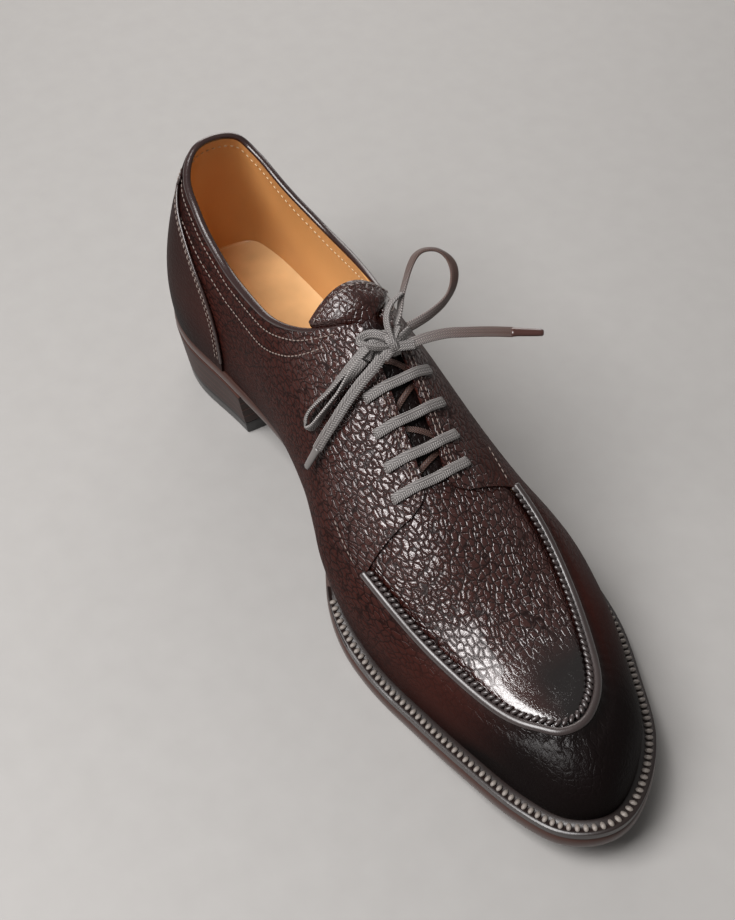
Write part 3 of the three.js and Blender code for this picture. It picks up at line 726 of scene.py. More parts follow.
def wall_rise(t, w):
    """The side's own relief: it curls up to the apron seam, with puckers, and has soft creases."""
    t = np.mod(t, TURN)
    x = around("x", t)
    away = (seam_share(t) - w) * girth(t)
    past = smooth(t, FRONT, FRONT + 0.3) * smooth(-t, FRONT - TURN, FRONT + 0.3 - TURN)
    lip = 0.75 * np.exp(-((away / 1.7) ** 2))
    hollow = -0.4 * bump(away, 4.2, 3.2)
    run = seam_length(t)
    ripple = np.cos(2 * np.pi * run / PUCKER_PITCH + 1.3 * np.sin(run / 5.0) + 0.35 * away)
    toe = smooth(x, 225, 268)
    pucker = (0.05 + 0.17 * toe) * smooth(away, 0.8, 2.4) * np.exp(-away / 4.2) * ripple
    leaning = x - 26 * (w - 0.3)
    flex = -0.55 * bump(leaning, 176, 11) * bump(w, 0.26, 0.22)
    flex += 0.4 * bump(leaning, 164, 9) * bump(w, 0.24, 0.2)
    waist = -0.7 * bump(x, 104, 20) * bump(w, 0.52, 0.26)
    under_collar = 0.45 * bump(x + 14 * w, 74, 17) * bump(w, 0.6, 0.22)
    softer = np.where(t < TOE, 1.0, 0.75)
    return past * (lip + hollow + pucker) + softer * (flex + waist + under_collar)


def quarter_places(u, v):
    t = (2 * u - 1) * FRONT
    seam, top = seam_share(t), top_share(t)
    return t, np.where(v <= 0.5, seam * v * 2, seam + (top - seam) * (v - 0.5) * 2)


def wall_places(u, v):
    t = FRONT + u * (TURN - 2 * FRONT)
    return t, seam_share(t) * v


def sheet_of(bm, columns, rows, places, offset, **masks):
    """A grid laid on the last: places(u, v) gives place and share, offset(t, w) the height over it."""
    chosen = {**LEATHER_MASKS, **masks}
    return add_sheet(
        bm, columns, rows,
        lambda u, v: on_last(*places(u, v), offset(*places(u, v))),
        {key: lambda u, v, mask=mask: mask(*places(u, v)) for key, mask in chosen.items()})


def make_quarters():
    bm = bmesh.new()
    sheet_of(bm, 300, LOW_ROWS + HIGH_ROWS, quarter_places, wall_rise)
    sheet_of(bm, 340, LOW_ROWS, wall_places, wall_rise)
    weld(bm, 4e-5)
    thicken(bm, CALF_THICK)
    return finish_mesh("quarters", bm, CALF, 38)


# Apron: the plug inside the seam, running back under the facings
APRON_START = float(place_at(VAMP_EDGE - 1, -1))
APRON_UNDER = 1.2
APRON_THICK = 1.3
# Where its columns meet at the toe end, in the frame's metres, and how often that place is smoothed
APRON_TIP = 0.196
TIP_MIDDLE = 0.002
TIP_HALF = 0.016
TIP_ROUNDS = 20


def apron_places(u, v):
    t = APRON_START + u * (TURN - 2 * APRON_START)
    start = along_seam(t) - APRON_UNDER / girth(t)
    return t, start + (1 - start) * v


def apron_rise(t, w):
    away = np.clip((folded(t) - FRONT) / 1.2, 0, 1)
    base = -VAMP_DROP + (VAMP_DROP - 0.4) * away
    inward = (w - along_seam(t)) * girth(t)
    groove = -0.45 * np.exp(-((inward / 2.2) ** 2)) - 0.5 * smooth(-inward, 0, 1)
    swell = 0.45 * bump(inward, 5.5, 4.5)
    toe = smooth(around("x", np.mod(t, TURN)), 205, 255)
    gather = 0.1 * toe * np.exp(-inward / 4.5) * np.cos(2 * np.pi * seam_length(t) / STITCH_PITCH)
    return base + groove + swell + gather


def apron_pebble(t, w):
    x, y, _ = np.moveaxis(on_last(t, w), -1, 0)
    return 1 - 0.95 * smooth(x, 233, 250) - 0.25 * smooth(y, 8, 24) * (1 - smooth(x, 233, 250))


# Darker over the toe from its middle to the outer side, and in a band just inside the seam
def apron_burnish(t, w):
    x, y, _ = np.moveaxis(on_last(t, w), -1, 0)
    near = np.exp(-np.maximum(0, (w - seam_share(t)) * girth(t)) / 5.0)
    return np.clip(0.95 * smooth(x, 230, 252) * smooth(y, -18, 0) + 0.25 * near, 0, 1)


def apron_polish(t, w):
    return smooth(on_last(t, w)[..., 0], 210, 246)


def make_apron():
    bm = bmesh.new()
    sheet_of(
        bm, 300, 42, apron_places, apron_rise, pebble=apron_pebble, burnish=apron_burnish,
        polish=apron_polish, gloss=lambda t, w: 1)
    weld(bm, 2e-5)
    tip = [v for v in bm.verts if v.co.x > APRON_TIP and abs(v.co.y - TIP_MIDDLE) < TIP_HALF]
    for _ in range(TIP_ROUNDS):
        bmesh.ops.smooth_vert(
            bm, verts=tip, factor=0.5, use_axis_x=True, use_axis_y=True, use_axis_z=True)
    thicken(bm, APRON_THICK)
    return finish_mesh("apron", bm, CALF, 38)


# Heel counter laid over the quarters, its front edges leaning back as they rise
COUNTER_BACK = 2.6


def counter_reach(w):
    return COUNTER_FOOT - COUNTER_LEAN * np.minimum(1, w / COUNTER_TOP) ** 3


def counter_places(u, v):
    w = v * 0.9
    for _ in range(5):
        t = (2 * u - 1) * counter_reach(w)
        w = v * (top_share(t) - COUNTER_BACK / girth(t))
    return t, w


def make_counter():
    bm = bmesh.new()
    sheet_of(
        bm, 150, 76, counter_places, lambda t, w: COUNTER_THICK + 0.1 + wall_rise(t, w),
        pebble=lambda t, w: 0.2, burnish=lambda t, w: np.clip(burnish_mask(t, w) + 0.2, 0, 1),
        gloss=lambda t, w: 0.1)
    weld(bm)
    thicken(bm, COUNTER_THICK + 0.3)
    return finish_mesh("counter", bm, CALF, 38)


# Lining: quarters and vamp inside, a smooth tan leather that follows the creases inwards
LINING_THICK = 0.45
LINING_ROWS = 44
VAMP_LINING_DROP = 1.4


def lining_side(u, v):
    t = (2 * u - 1) * FRONT
    return t, v * (top_share(t) - np.where(folded(t) > FACING_START - 0.5, 2.4, 0.4) / girth(t))


def lining_vamp(u, v):
    return FRONT + u * (TURN - 2 * FRONT), v


def make_lining():
    bm = bmesh.new()
    for columns, places, drop in ((150, lining_side, 0), (90, lining_vamp, VAMP_LINING_DROP)):
        depth = LINING_THICK - WALL - drop
        sheet_of(
            bm, columns, LINING_ROWS, places,
            lambda t, w, depth=depth: depth + np.minimum(wall_rise(t, w), 0))
    weld(bm)
    thicken(bm, LINING_THICK)
    return finish_mesh("lining", bm, LINING, 50)


# Tubes and flat strips along a line
def add_strip(bm, points, out, profile, masks=None, scale=1.0):
    """Sweeps a closed profile of (across, out) pairs, in millimetres, along a line."""
    along = unit(np.gradient(points, axis=0))
    out = square_to(along, out)
    across = np.cross(out, along)
    count, sides = len(points), len(profile)
    scale = np.broadcast_to(np.asarray(scale, float), (count,))

    def place(u, v):
        k = np.rint(u * (count - 1)).astype(int)
        offset = profile[np.rint(v * sides).astype(int) % sides] * scale[k][:, None]
        return points[k] + across[k] * offset[:, :1] + out[k] * offset[:, 1:]

    made = add_sheet(bm, count - 1, sides, place, masks)
    bmesh.ops.remove_doubles(bm, verts=made, dist=1e-7)
    close_holes(bm)


def round_profile(across, out, sides=12):
    angles = np.arange(sides) * 2 * np.pi / sides
    return np.stack([0.5 * across * np.cos(angles), 0.5 * out * np.sin(angles)], -1)


# Powers below one flatten a lace's faces and square its edges
LACE_SQUARENESS = 0.45
LACE_FLATNESS = 0.8


def flat_profile(width, thick, sides=12):
    """A flat lace's section: straight faces and rounded edges."""
    angles = (np.arange(sides) * 2 + 1) * np.pi / sides
    c, s = np.cos(angles), np.sin(angles)
    across = 0.5 * width * np.sign(c) * np.abs(c) ** LACE_SQUARENESS
    return np.stack([across, 0.5 * thick * np.sign(s) * np.abs(s) ** LACE_FLATNESS], -1)


def last_line(t, w, offset):
    """Points and outward vectors of a line drawn on the last."""
    return on_last(t, w, offset), last_normal(t, w)


# How often the rolled collar's line is smoothed
ROLL_ROUNDS = 30


def make_collar_roll():
    end = float(place_at(FACING_TOP - 1, -1))
    t = np.linspace(-end, end, 420)
    points, out = last_line(t, top_share(t), -0.5)
    for _ in range(ROLL_ROUNDS):
        points[1:-1] = 0.5 * points[1:-1] + 0.25 * (points[:-2] + points[2:])
    size = 1 - 0.5 * smooth(np.abs(t), end - 1.6, end)
    bm = bmesh.new()
    add_strip(bm, points, out * 0.5 + UP, round_profile(3.2, 2.5), scale=size)
    return finish_closed("collar_roll", bm, ROLL_CALF)


def make_apron_bead():
    t = np.linspace(FRONT - 0.03, TURN - FRONT + 0.03, 520)
    bm = bmesh.new()
    add_strip(bm, *last_line(t, along_seam(t), 0.6), round_profile(2.9, 2.3))
    return finish_closed("apron_bead", bm, BEAD_CALF)


def make_counter_bead():
    bm = bmesh.new()
    for side in (-1, 1):
        add_strip(bm, *counter_row(side, -0.1), round_profile(1.5, 1.3, 8))
    return finish_closed("counter_bead", bm, ROLL_CALF)


# Tongue: the share of its length where its stitches run, and its length for the rounded edge
TONGUE_TIP_ROW = 0.965
TONGUE_LENGTH = 66
TONGUE_THICK = 1.7


def tongue_places(u, v):
    side = np.abs(2 * u - 1)
    back = TONGUE_TOP + TONGUE_RISE * side**2
    x = back + (VAMP_EDGE + 3 - back) * (1 - v)
    t = place_at(x, np.where(u < 0.5, -1, 1))
    return x, t, np.where(side < 1e-6, 1, share_at_reach(t, TONGUE_REACH * side))


def tongue_lift(u, x, t, w):
    """Under the facings the tongue lies flat, and above the collar its free end stands proud."""
    free = smooth((w - top_share(t)) * girth(t), 0.2, 4) * (1 - smooth(x, 122, 131))
    return free * (4.2 + 0.8 * smooth(u, 0.5, 0.8))


def make_tongue():
    bm = bmesh.new()

    def place(u, v):
        x, t, w = tongue_places(u, v)
        edge = np.minimum((1 - v) * TONGUE_LENGTH, TONGUE_REACH * (1 - np.abs(2 * u - 1)))
        rounding = -0.6 * (1 - smooth(edge, 0, 1.6))
        return on_last(t, w, -TONGUE_DEPTH + rounding + tongue_lift(u, x, t, w))

    # Painted shade: under the lacing the tongue lies in the gap's shadow, so there it is darkened and
    # its gloss is dulled
    def under_lacing(u, v):
        return smooth(tongue_places(u, v)[0], 126, 134)

    add_sheet(bm, 60, 90, place, {
        "pebble": lambda u, v: 0.6, "burnish": lambda u, v: 0.1 + 0.85 * under_lacing(u, v),
        "polish": lambda u, v: 0, "gloss": lambda u, v: 0.95 - 0.8 * under_lacing(u, v),
    })
    weld(bm)
    thicken(bm, TONGUE_THICK)
    return finish_mesh("tongue_leather", bm, CALF, 50)


# Stitches: one small capsule repeated along a line, its direction read a little to either side
STITCH_LOOK = 0.4


def stitches(name, rows, material, length=1.7, gap=0.55, width=0.55, height=0.4, sink=0.05, slant=0.0):
    """Rows of stitches, each row a line of points and the outward vectors along it."""
    bm = bmesh.new()
    for points, out in rows:
        steps = run_along(points)
        count = max(1, int(steps[-1] / (length + gap)))
        centres = (np.arange(count) + 0.5) * steps[-1] / count
        ahead = read_along(centres + STITCH_LOOK, steps, points)
        along = unit(ahead - read_along(centres - STITCH_LOOK, steps, points))
        normal = square_to(along, read_along(centres, steps, out))
        along = along * math.cos(slant) + np.cross(normal, along) * math.sin(slant)
        axes = np.stack([np.cross(normal, along) * width, normal * height, along * length], -1) * MM
        middle = in_frame(read_along(centres, steps, points) + normal * (0.5 * height - sink))
        for centre, turn in zip(middle, axes):
            place = Matrix.Translation(Vector(centre)) @ Matrix(turn.tolist()).to_4x4()
            bmesh.ops.create_uvsphere(bm, u_segments=6, v_segments=5, radius=0.5, matrix=place)
    return finish_mesh(name, bm, material)


# The bottom: outlines that follow the feather
def feather_point(t, offset, height):
    x, y = around("x", t), around("y", t)
    dx = around("x", t + STEP) - around("x", t - STEP)
    dy = around("y", t + STEP) - around("y", t - STEP)
    size = np.hypot(dx, dy)
    return np.stack([x + dy / size * offset, y - dx / size * offset, height + 0 * x], -1)


def ease(x, start, end, low, high):
    return start + (end - start) * smooth(x, low, high)


WELT_END = 0.56 * LAST_LENGTH
WELT_FULL = 0.66 * LAST_LENGTH
SEAT_END = 0.25 * LAST_LENGTH
WAIST = 0.42 * LAST_LENGTH


def edge_offset(x):
    rear = ease(x, SEAT_EDGE, WAIST_EDGE, 0.75 * SEAT_END, WAIST)
    return rear + (WELT_WIDTH - rear) * smooth(x, WAIST, WELT_FULL)


def welt_depth(x):
    return ease(x, 0.9, WELT, WELT_END, WELT_FULL)


def sole_top(t):
    x = around("x", t)
    step = ease(x, 0, 1, WELT_END - 2 * WELT, WELT_END - 1) * (welt_depth(x) + FIT)
    return feather_at(t) - FIT - step


def sole_bottom(t):
    x = around("x", t)
    return feather_at(t) - ease(x, OUTSOLE + FIT, FORE_FEATHER, 0.40 * LAST_LENGTH, 0.60 * LAST_LENGTH)


# Section of the outsole's edge from the bottom up: inset from the outline, share of the height
SOLE_EDGE = np.array([
    [3.0, 0.0], [1.0, 0.0], [0.4, 0.08], [0.1, 0.22], [0.0, 0.45], [0.05, 0.7], [0.3, 0.88], [0.9, 1.0],
    [9.0, 1.0],
])
SOLE_COLUMNS = 360


def make_outsole():
    bm = bmesh.new()
    insets, shares = SOLE_EDGE.T
    rows = len(SOLE_EDGE) - 1

    def edge(u, v):
        t = np.mod(u * TURN, TURN)
        k = np.rint(v * rows).astype(int)
        low, high = sole_bottom(t), sole_top(t)
        return feather_point(t, edge_offset(around("x", t)) - insets[k], low + (high - low) * shares[k])

    add_sheet(bm, SOLE_COLUMNS, rows, edge)
    for inset, height in ((insets[0], sole_bottom), (insets[-1], sole_top)):
        def across(u, v, inset=inset, height=height):
            t = u * TOE
            offset = edge_offset(around("x", t)) - inset
            inner = feather_point(t, offset, height(t))
            outer = feather_point(np.mod(TURN - t, TURN), offset, height(t))
            return inner + (outer - inner) * v[:, None]

        add_sheet(bm, SOLE_COLUMNS // 2, 14, across)
    weld(bm, 2e-5)
    return finish_closed("sole", bm, SOLE_LEATHER, 40)


def make_welt():
    start = float(place_at(WELT_END, -1))
    t = np.linspace(start, TURN - start, 420)
    x = around("x", t)
    top = feather_at(t) - FIT
    low = top - welt_depth(x)
    outer = edge_offset(x) - 0.4
    inner = 0 * x - (WALL + 0.8)
    # Section from the hidden inner edge over the top, with a groove for the stitches, and round the edge
    section = [
        (inner, low), (inner, top), (0 * x + 0.1, top), (outer * 0.30 + 0.2, top - 0.15),
        (outer * 0.42, top - 0.35), (outer * 0.62, top - 0.35), (outer * 0.74, top - 0.05),
        (outer * 0.9, top - 0.02), (outer, top - 0.4), (outer + 0.05, 0.5 * (top + low)),
        (outer - 0.1, low),
    ]
    offsets, heights = np.moveaxis(np.array(section), 1, 0)
    count = len(section)
    bm = bmesh.new()

    def place(u, v):
        k = np.rint(u * (len(t) - 1)).astype(int)
        n = np.rint(v * count).astype(int) % count
        return feather_point(t[k], offsets[n, k], heights[n, k])

    add_sheet(bm, len(t) - 1, count, place)
    weld(bm, 1e-6)
    close_holes(bm)
    return finish_closed("welt_strip", bm, WELT_LEATHER, 50)


# Share of the heel's outline that runs round the seat, before the straight breast
HEEL_ROUND = 0.78
HEEL_BEVEL = 0.35
HEEL_CAP = 5
LIFT_GROOVE = 0.07
GROOVE_SLOPE = 2.4


def heel_outline(u, shrink):
    """Round the heel seat and along its straight breast, once for u from 0 to 1."""
    breast = HEEL_BREAST - 0.5 * shrink
    start = float(place_at(breast, -1))
    t = np.mod(TURN - start + 2 * start * np.clip(u / HEEL_ROUND, 0, 1), TURN)
    round_part = feather_point(t, edge_offset(0) - shrink, 0)
    ends = feather_point(np.array([start, TURN - start]), edge_offset(0) - shrink, 0)
    f = np.clip((u - HEEL_ROUND) / (1 - HEEL_ROUND), 0, 1)[:, None]
    straight = ends[0] + (ends[1] - ends[0]) * f
    straight[:, 0] = breast
    on_round = u <= HEEL_ROUND
    points = np.where(on_round[:, None], round_part, straight)
    points[:, 0] = np.minimum(points[:, 0], breast)
    return points, np.where(on_round, t, place_at(points[:, 0], 1))


def heel_block(name, low, high, shrink_low, shrink_high, lifts, material):
    """A block of the heel between two heights, with a groove between its lifts."""
    rows = max(2, 8 * lifts)
    levels = np.arange(rows + 1) / rows
    from_groove = np.abs(np.sin(np.pi * levels * lifts)) if lifts > 1 else 1 + 0 * levels
    grooves = 1 - np.minimum(1, from_groove * GROOVE_SLOPE)
    insets = LIFT_GROOVE * grooves
    insets[[0, -1]] += HEEL_BEVEL
    levels, insets = np.pad(levels, 1, "edge"), np.pad(insets, 1, "edge")
    insets[[0, -1]] += HEEL_CAP
    grooves = np.pad(grooves, 1)
    last = len(levels) - 1
    bm = bmesh.new()

    def place(u, v):
        k = np.rint(v * last).astype(int)
        shrink = shrink_low + (shrink_high - shrink_low) * levels[k] + insets[k]
        points = np.empty((len(u), 3))
        for value in np.unique(shrink):
            same = shrink == value
            points[same], places = heel_outline(u[same], value)
            bottom, top = low(places), high(places)
            points[same, 2] = bottom + (top - bottom) * levels[k][same]
        return points

    add_sheet(bm, 200, last, place, {"lift": lambda u, v: grooves[np.rint(v * last).astype(int)]})
    weld(bm, 2e-5)
    close_holes(bm)
    return finish_closed(name, bm, material, 40)


def make_heel():
    stack = heel_block(
        "heel_lifts", lambda t: TOP_PIECE + FIT + 0 * t, lambda t: sole_bottom(t) - FIT,
        HEEL_TAPER * 0.77, 0, 4, HEEL_LEATHER)
    tread = heel_block(
        "heel_tread", lambda t: 0 * t, lambda t: TOP_PIECE + 0 * t,
        HEEL_TAPER, HEEL_TAPER * 0.8, 1, RUBBER)
    return stack, tread


# Lacing: bars across the facings, strands under them, and the bow
LACE_REST = FIT + 0.5 * LACE_THICK
LACE_GOES_IN = -1.8
BAR_DIP = 0.9
BAR_SHIFT = 2.8
BAR_POINTS = 60
BAR_TILT = 0.45
STRAND_POINTS = 24


def catmull(points, count):
    """Smooth line through chosen points, evenly spaced."""
    points = np.asarray(points, float)
    ends = np.concatenate([[2 * points[0] - points[1]], points, [2 * points[-1] - points[-2]]])
    share = np.linspace(0, 1, 24, endpoint=False)[:, None]
    fine = [spline(*ends[k - 1:k + 3], share) for k in range(1, len(ends) - 2)]
    fine = np.concatenate([*fine, [points[-1]]])
    steps = run_along(fine)
    return read_along(np.linspace(0, steps[-1], count), steps, fine)


def add_lace(bm, points, out, lace_shade=0.0, width=LACE_WIDTH, thick=LACE_THICK):
    """A length of flat lace whose face looks along out, darkened towards a painted-shade brown where
    asked.
    """
    count = len(points)
    profile = flat_profile(width, thick)
    steps = run_along(points)
    lace_shades = np.broadcast_to(np.asarray(lace_shade, float), (count,))
    sides = len(profile)
    add_strip(bm, points, out, profile, {
        "along": lambda u, v: steps[np.rint(u * (count - 1)).astype(int)],
        "across": lambda u, v: profile[np.rint(v * sides).astype(int) % sides, 0],
        "lace_shade": lambda u, v: lace_shades[np.rint(u * (count - 1)).astype(int)],
    })


def bar_line(x_inner, x_outer, reach_inner, reach_outer):
    """Points and outward vectors of a bar from the inner eyelet over the gap to the outer one."""
    turns = [
        (1.0, LACE_GOES_IN), (1.0, -0.5), (0.94, LACE_REST + 0.1), (0.8, LACE_REST + 0.1),
        (0.58, LACE_REST - 0.1), (0.36, LACE_REST - 0.2),
    ]
    middle = 0.5 * (x_inner + x_outer)
    rows = [
        *((x_inner, -1, reach_inner * share, offset) for share, offset in turns),
        (middle, 1, 0.01, LACE_REST - BAR_DIP),
        *((x_outer, 1, reach_outer * share, offset) for share, offset in reversed(turns)),
    ]
    pulls = 1 - np.abs(np.linspace(-1, 1, len(rows)))
    chosen = [
        rest_on(x + (middle - x + BAR_SHIFT) * pull, side, reach, offset)
        for pull, (x, side, reach, offset) in zip(pulls, rows)
    ]
    x_at = np.linspace(x_inner, x_outer, BAR_POINTS)
    tilt = np.stack([0 * x_at, np.linspace(-BAR_TILT, BAR_TILT, BAR_POINTS), 0 * x_at], -1)
    return catmull(chosen, BAR_POINTS), unit(ridge_normal(x_at) + tilt)


# Of each bar: x of its inner and outer eyelets, and how far they are from the ridge
EYELETS = [
    (139.5, 137.5, 12.6, 12.0), (149.8, 147.4, 13.4, 12.2), (160.0, 158.0, 14.2, 12.6),
    (170.2, 168.6, 14.9, 13.1), (179.4, 178.0, 15.6, 13.6),
]


def make_lace_bars():
    bm = bmesh.new()
    for row in EYELETS:
        add_lace(bm, *bar_line(*row))
    for k, (near, far) in enumerate(zip(EYELETS, EYELETS[1:])):
        side = 1 if k % 2 else -1
        chosen = [
            rest_on(near[0] + 2.5, side, 7.5, -WALL - 0.9), rest_on(near[0] + 4.2, side, 4, -WALL - 0.4),
            rest_on(0.5 * (near[0] + far[0]) + 1, 1, 0.01, -WALL - 0.1),
            rest_on(far[0] - 2.2, -side, 4, -WALL - 0.4), rest_on(far[0] - 0.5, -side, 7.5, -WALL - 0.9),
        ]
        out = np.tile(ridge_normal(np.array([near[0]])), (STRAND_POINTS, 1))
        # The strands under the facings lie in shade, so they are fully darkened with painted shade
        add_lace(bm, catmull(chosen, STRAND_POINTS), out, lace_shade=1.0, width=2.1, thick=0.8)
    return finish_closed("lace_bars_woven", bm, LACE, 50)


# The bow's free lengths: chosen points, the way their faces look at the start and the end, and how far
# painted shade darkens them along the way
BOW = {
    "lace_loop_upper": {
        "out": [
            (-0.39, -0.85, 0.45), (-0.45, -0.7, 0.6), (-0.44, 0.28, 0.92), (0.94, 0.33, 0.0),
            (0.85, 0.2, 0.4),
        ],
        "lace_shade": (0.0, 0.9, 1.0, 0.4),
        "points": [
            (140.1, 5.9, 103), (138, 8.5, 105.5), (134.5, 11.2, 108), (131.3, 14.3, 110.3),
            (126.5, 19.4, 113.2), (123.9, 23.4, 114.4), (123.6, 27.2, 114.6), (125.2, 31.2, 113.6),
            (128.9, 33.5, 111.4),
            (133.2, 32.8, 109), (137, 29.7, 106.4), (139.9, 24.9, 104.6), (141.6, 18.8, 103.4),
            (142.2, 13.5, 102.6), (142.2, 9.5, 102),
        ],
    },
    "lace_loop_side": {
        "out": [
            (0.2, -0.6, 0.75), (-0.5, -0.6, 0.62), (-0.77, -0.47, 0.43), (0.65, -0.38, -0.66),
            (0.77, 0.47, -0.43), (0.6, -0.3, 0.75),
        ],
        "lace_shade": (0.0, 0.0, 0.0, 0.0),
        "points": [
            (141, -6, 99.2), (141.2, -9, 97), (141, -13.5, 93.2), (140.2, -20.5, 85.6), (138.4, -25, 80),
            (137.2, -27.8, 75.6), (137.6, -29.4, 72), (139.8, -29.6, 71), (141.8, -28, 73.6),
            (142.8, -25, 78.6), (143.6, -20.4, 85), (143.8, -13.5, 92.4), (143.2, -8.5, 96.4),
        ],
    },
    "lace_end_inner": {
        "out": [(0.6, -0.3, 0.75), (0.6, -0.35, 0.7), (0.55, -0.5, 0.6)],
        "lace_shade": (0.0, 0.0, 0.15),
        "points": [
            (146.2, -3.2, 97.4), (147.2, -6, 96), (147.8, -8.8, 94.4), (148.2, -12.5, 91.8),
            (148.6, -18, 86.4), (149, -23, 80.6), (148.8, -27.4, 74.6), (148.3, -30.6, 69),
        ],
    },
    "lace_end_outer": {
        "out": [(0.5, -0.1, 0.8), (0.5, 0.0, 0.85), (0.45, 0.0, 0.9)],
        "lace_shade": (0.2, 0.8, 1.0),
        "points": [
            (146.5, 7.5, 98.6), (147.4, 12.2, 99.6), (149.6, 19.8, 100.2), (152.8, 26.3, 100.2),
            (156.3, 33.1, 100), (160.1, 39.8, 99.6),
        ],
    },
}
KNOT = np.array([143.7, 1.9, 99.6])


def free_lace(name, route):
    count = 10 * len(route["points"])
    points = catmull(route["points"], count)
    share = np.linspace(0, 1, count)
    out = unit(read_along(share, np.linspace(0, 1, len(route["out"])), route["out"]))
    lace_shade = np.interp(share, np.linspace(0, 1, len(route["lace_shade"])), route["lace_shade"])
    bm = bmesh.new()
    add_lace(bm, points, out, lace_shade)
    return finish_closed(name + "_woven", bm, LACE, 50), points


# The knot: wraps of lace over one another. Its axes run to the outer side, up the shoe and outwards,
# and each wrap has its points, the way its face looks at its start and its end, and its width
KNOT_AXES = np.array([[0.475, 0.879, -0.040], [-0.646, 0.380, 0.662], [0.598, -0.289, 0.748]])
KNOT_WRAPS = [
    ([(-1.8, 4.2, -1.2), (-1.4, 2.8, 1.0), (0.0, 0.3, 2.3), (1.4, -2.0, 1.6), (2.0, -3.8, -1.0)],
     (0, 0.3, 1), (0.2, -0.3, 1), 3.3),
    ([(0.5, 0.5, 1.0), (-3.0, 2.4, 1.4), (-6.3, 3.0, 0.9), (-9.0, 2.4, 0.1), (-10.6, 0.9, -0.5),
      (-9.4, -0.6, 0.1), (-6.0, -1.5, 1.2), (-2.0, -1.7, 1.7), (1.0, -1.3, 1.2)],
     (0, 0.2, 1), (0.0, -1, 0.5), 3.1),
    ([(-3.0, 1.4, -0.2), (-6.0, -0.4, -0.3), (-7.4, -2.6, -0.5), (-8.3, -5.6, -0.8)],
     (0, 0, 1), (0.3, 0, 1), 3.5),
    ([(-2.0, 0.5, -0.3), (-6.4, 1.2, -1.0), (-8.4, -0.8, -1.2), (-9.2, -2.0, -1.4)],
     (-0.3, 0.3, 1), (-0.7, 0.3, 0.6), 3.0),
    ([(1.6, 1.6, 0.9), (0.2, -1.8, 1.2), (-2.5, -5.3, 0.8)],
     (0, 0, 1), (0, 0, 1), 3.5),
    ([(-1.0, -0.8, 0.4), (2.4, -1.1, 0.9), (5.2, -0.8, 0.5), (7.8, -0.4, 0.0)],
     (0, 0.1, 1), (0, 0.1, 1), 3.4),
    ([(0.2, -0.4, 0.3), (1.2, 2.6, 0.6), (2.4, 5.7, 0.4)],
     (-0.6, 0, 0.8), (-0.8, 0, 0.5), 3.2),
    ([(0.6, -1.0, -0.3), (3.4, 1.8, 0.1), (6.4, 4.9, 0.0)],
     (0.3, -0.3, 1), (0.8, -0.4, 0.5), 3.3),
    ([(0.4, 0.6, 1.2), (-0.9, 4.4, 1.5), (-1.5, 8.6, 1.4), (-0.3, 12.6, 1.0), (2.0, 15.4, 0.4),
      (3.6, 16.8, -0.2)],
     (-0.5, 0, 0.9), (-0.7, 0.5, 0.5), 2.6),
]

WRAP_POINTS = 36
WRAP_THICK = 1.0


def make_knot():
    bm = bmesh.new()
    turn = np.linspace(0, 1, WRAP_POINTS)[:, None]
    for chosen, start, end, width in KNOT_WRAPS:
        points = catmull(KNOT + np.asarray(chosen) @ KNOT_AXES, WRAP_POINTS)
        out = ((1 - turn) * np.asarray(start, float) + turn * np.asarray(end, float)) @ KNOT_AXES
        add_lace(bm, points, unit(out), width=width, thick=WRAP_THICK)
    return finish_closed("bow_knot", bm, LACE, 50)


def aglet(name, route, length, material):
    """The wound film on a lace's tip, a tapered tube with a rounded end."""
    tip = np.asarray(route["points"][-2:], float)
    ahead = unit(tip[1] - tip[0])
    steps = np.array([0, 0.3, 0.8, 2, 0.5 * length, length - 1.5, length - 0.5, length - 0.1, length])
    sizes = np.array([0.9, 1.06, 1.1, 1.0, 0.94, 0.86, 0.8, 0.6, 0.3]) * AGLET_RADIUS
    line = tip[1] + (steps[:, None] - 0.6) * ahead
    bm = bmesh.new()
    add_strip(bm, line, UP, round_profile(2.3, 1.6, 14), scale=sizes)
    return finish_closed(name, bm, material, 40)


# Rows of thread on the upper, which stand a little proud of the leather
THREAD_RISE = 0.05
APRON_ROW_INSET = 2.35


def edge_row(end, inset):
    """A row that keeps its distance below the quarters' upper edge."""
    t = np.linspace(-end, end, 700)
    return last_line(t, top_share(t) - inset / girth(t), THREAD_RISE)


def facing_row(side, inset):
    """A row beside a facing's edge, down to its front corner."""
    x = np.linspace(134, FACING_FRONT - 4, 260)
    radius = FACING_RADIUS - inset
    back = np.clip(FACING_RADIUS - (FACING_FRONT - x), 0, radius)
    corner = radius - np.sqrt(radius**2 - back**2)
    t = place_at(x, side)
    return last_line(t, share_at_reach(t, FACING_GAP / 2 + inset + corner), THREAD_RISE)


def counter_row(side, inset):
    """A row beside the counter's front edge."""
    w = np.linspace(0.05, 1, 300)
    t = side * counter_reach(w)
    for _ in range(4):
        w_here = np.minimum(w, top_share(t) - 0.03)
        reach = counter_reach(w_here)
        apart = on_last(reach + 0.05, w_here) - on_last(reach - 0.05, w_here)
        t = side * (reach - inset * 0.1 / np.linalg.norm(apart, axis=-1))
    points, out = last_line(np.mod(t, TURN), w_here, COUNTER_THICK + 0.15)
    shown = w <= w_here + 1e-9
    return points[shown], out[shown]


def bar_tack(x_from, w_from, x_to, w_to, side):
    t = place_at(np.linspace(x_from, x_to, 40), side)
    return last_line(t, np.linspace(w_from, w_to, 40), THREAD_RISE)


def inside_row(end, below):
    t = np.linspace(-end, end, 400)
    points, out = last_line(t, top_share(t) - below / girth(t), -(WALL + 0.1))
    return points, -out


def apron_row():
    t = np.linspace(FRONT + 0.02, TURN - FRONT - 0.02, 900)
    depth = 0.3 - 0.4 * (1 - smooth(folded(t), FRONT, FRONT + 1))
    return last_line(t, seam_share(t) + APRON_ROW_INSET / girth(t), depth)


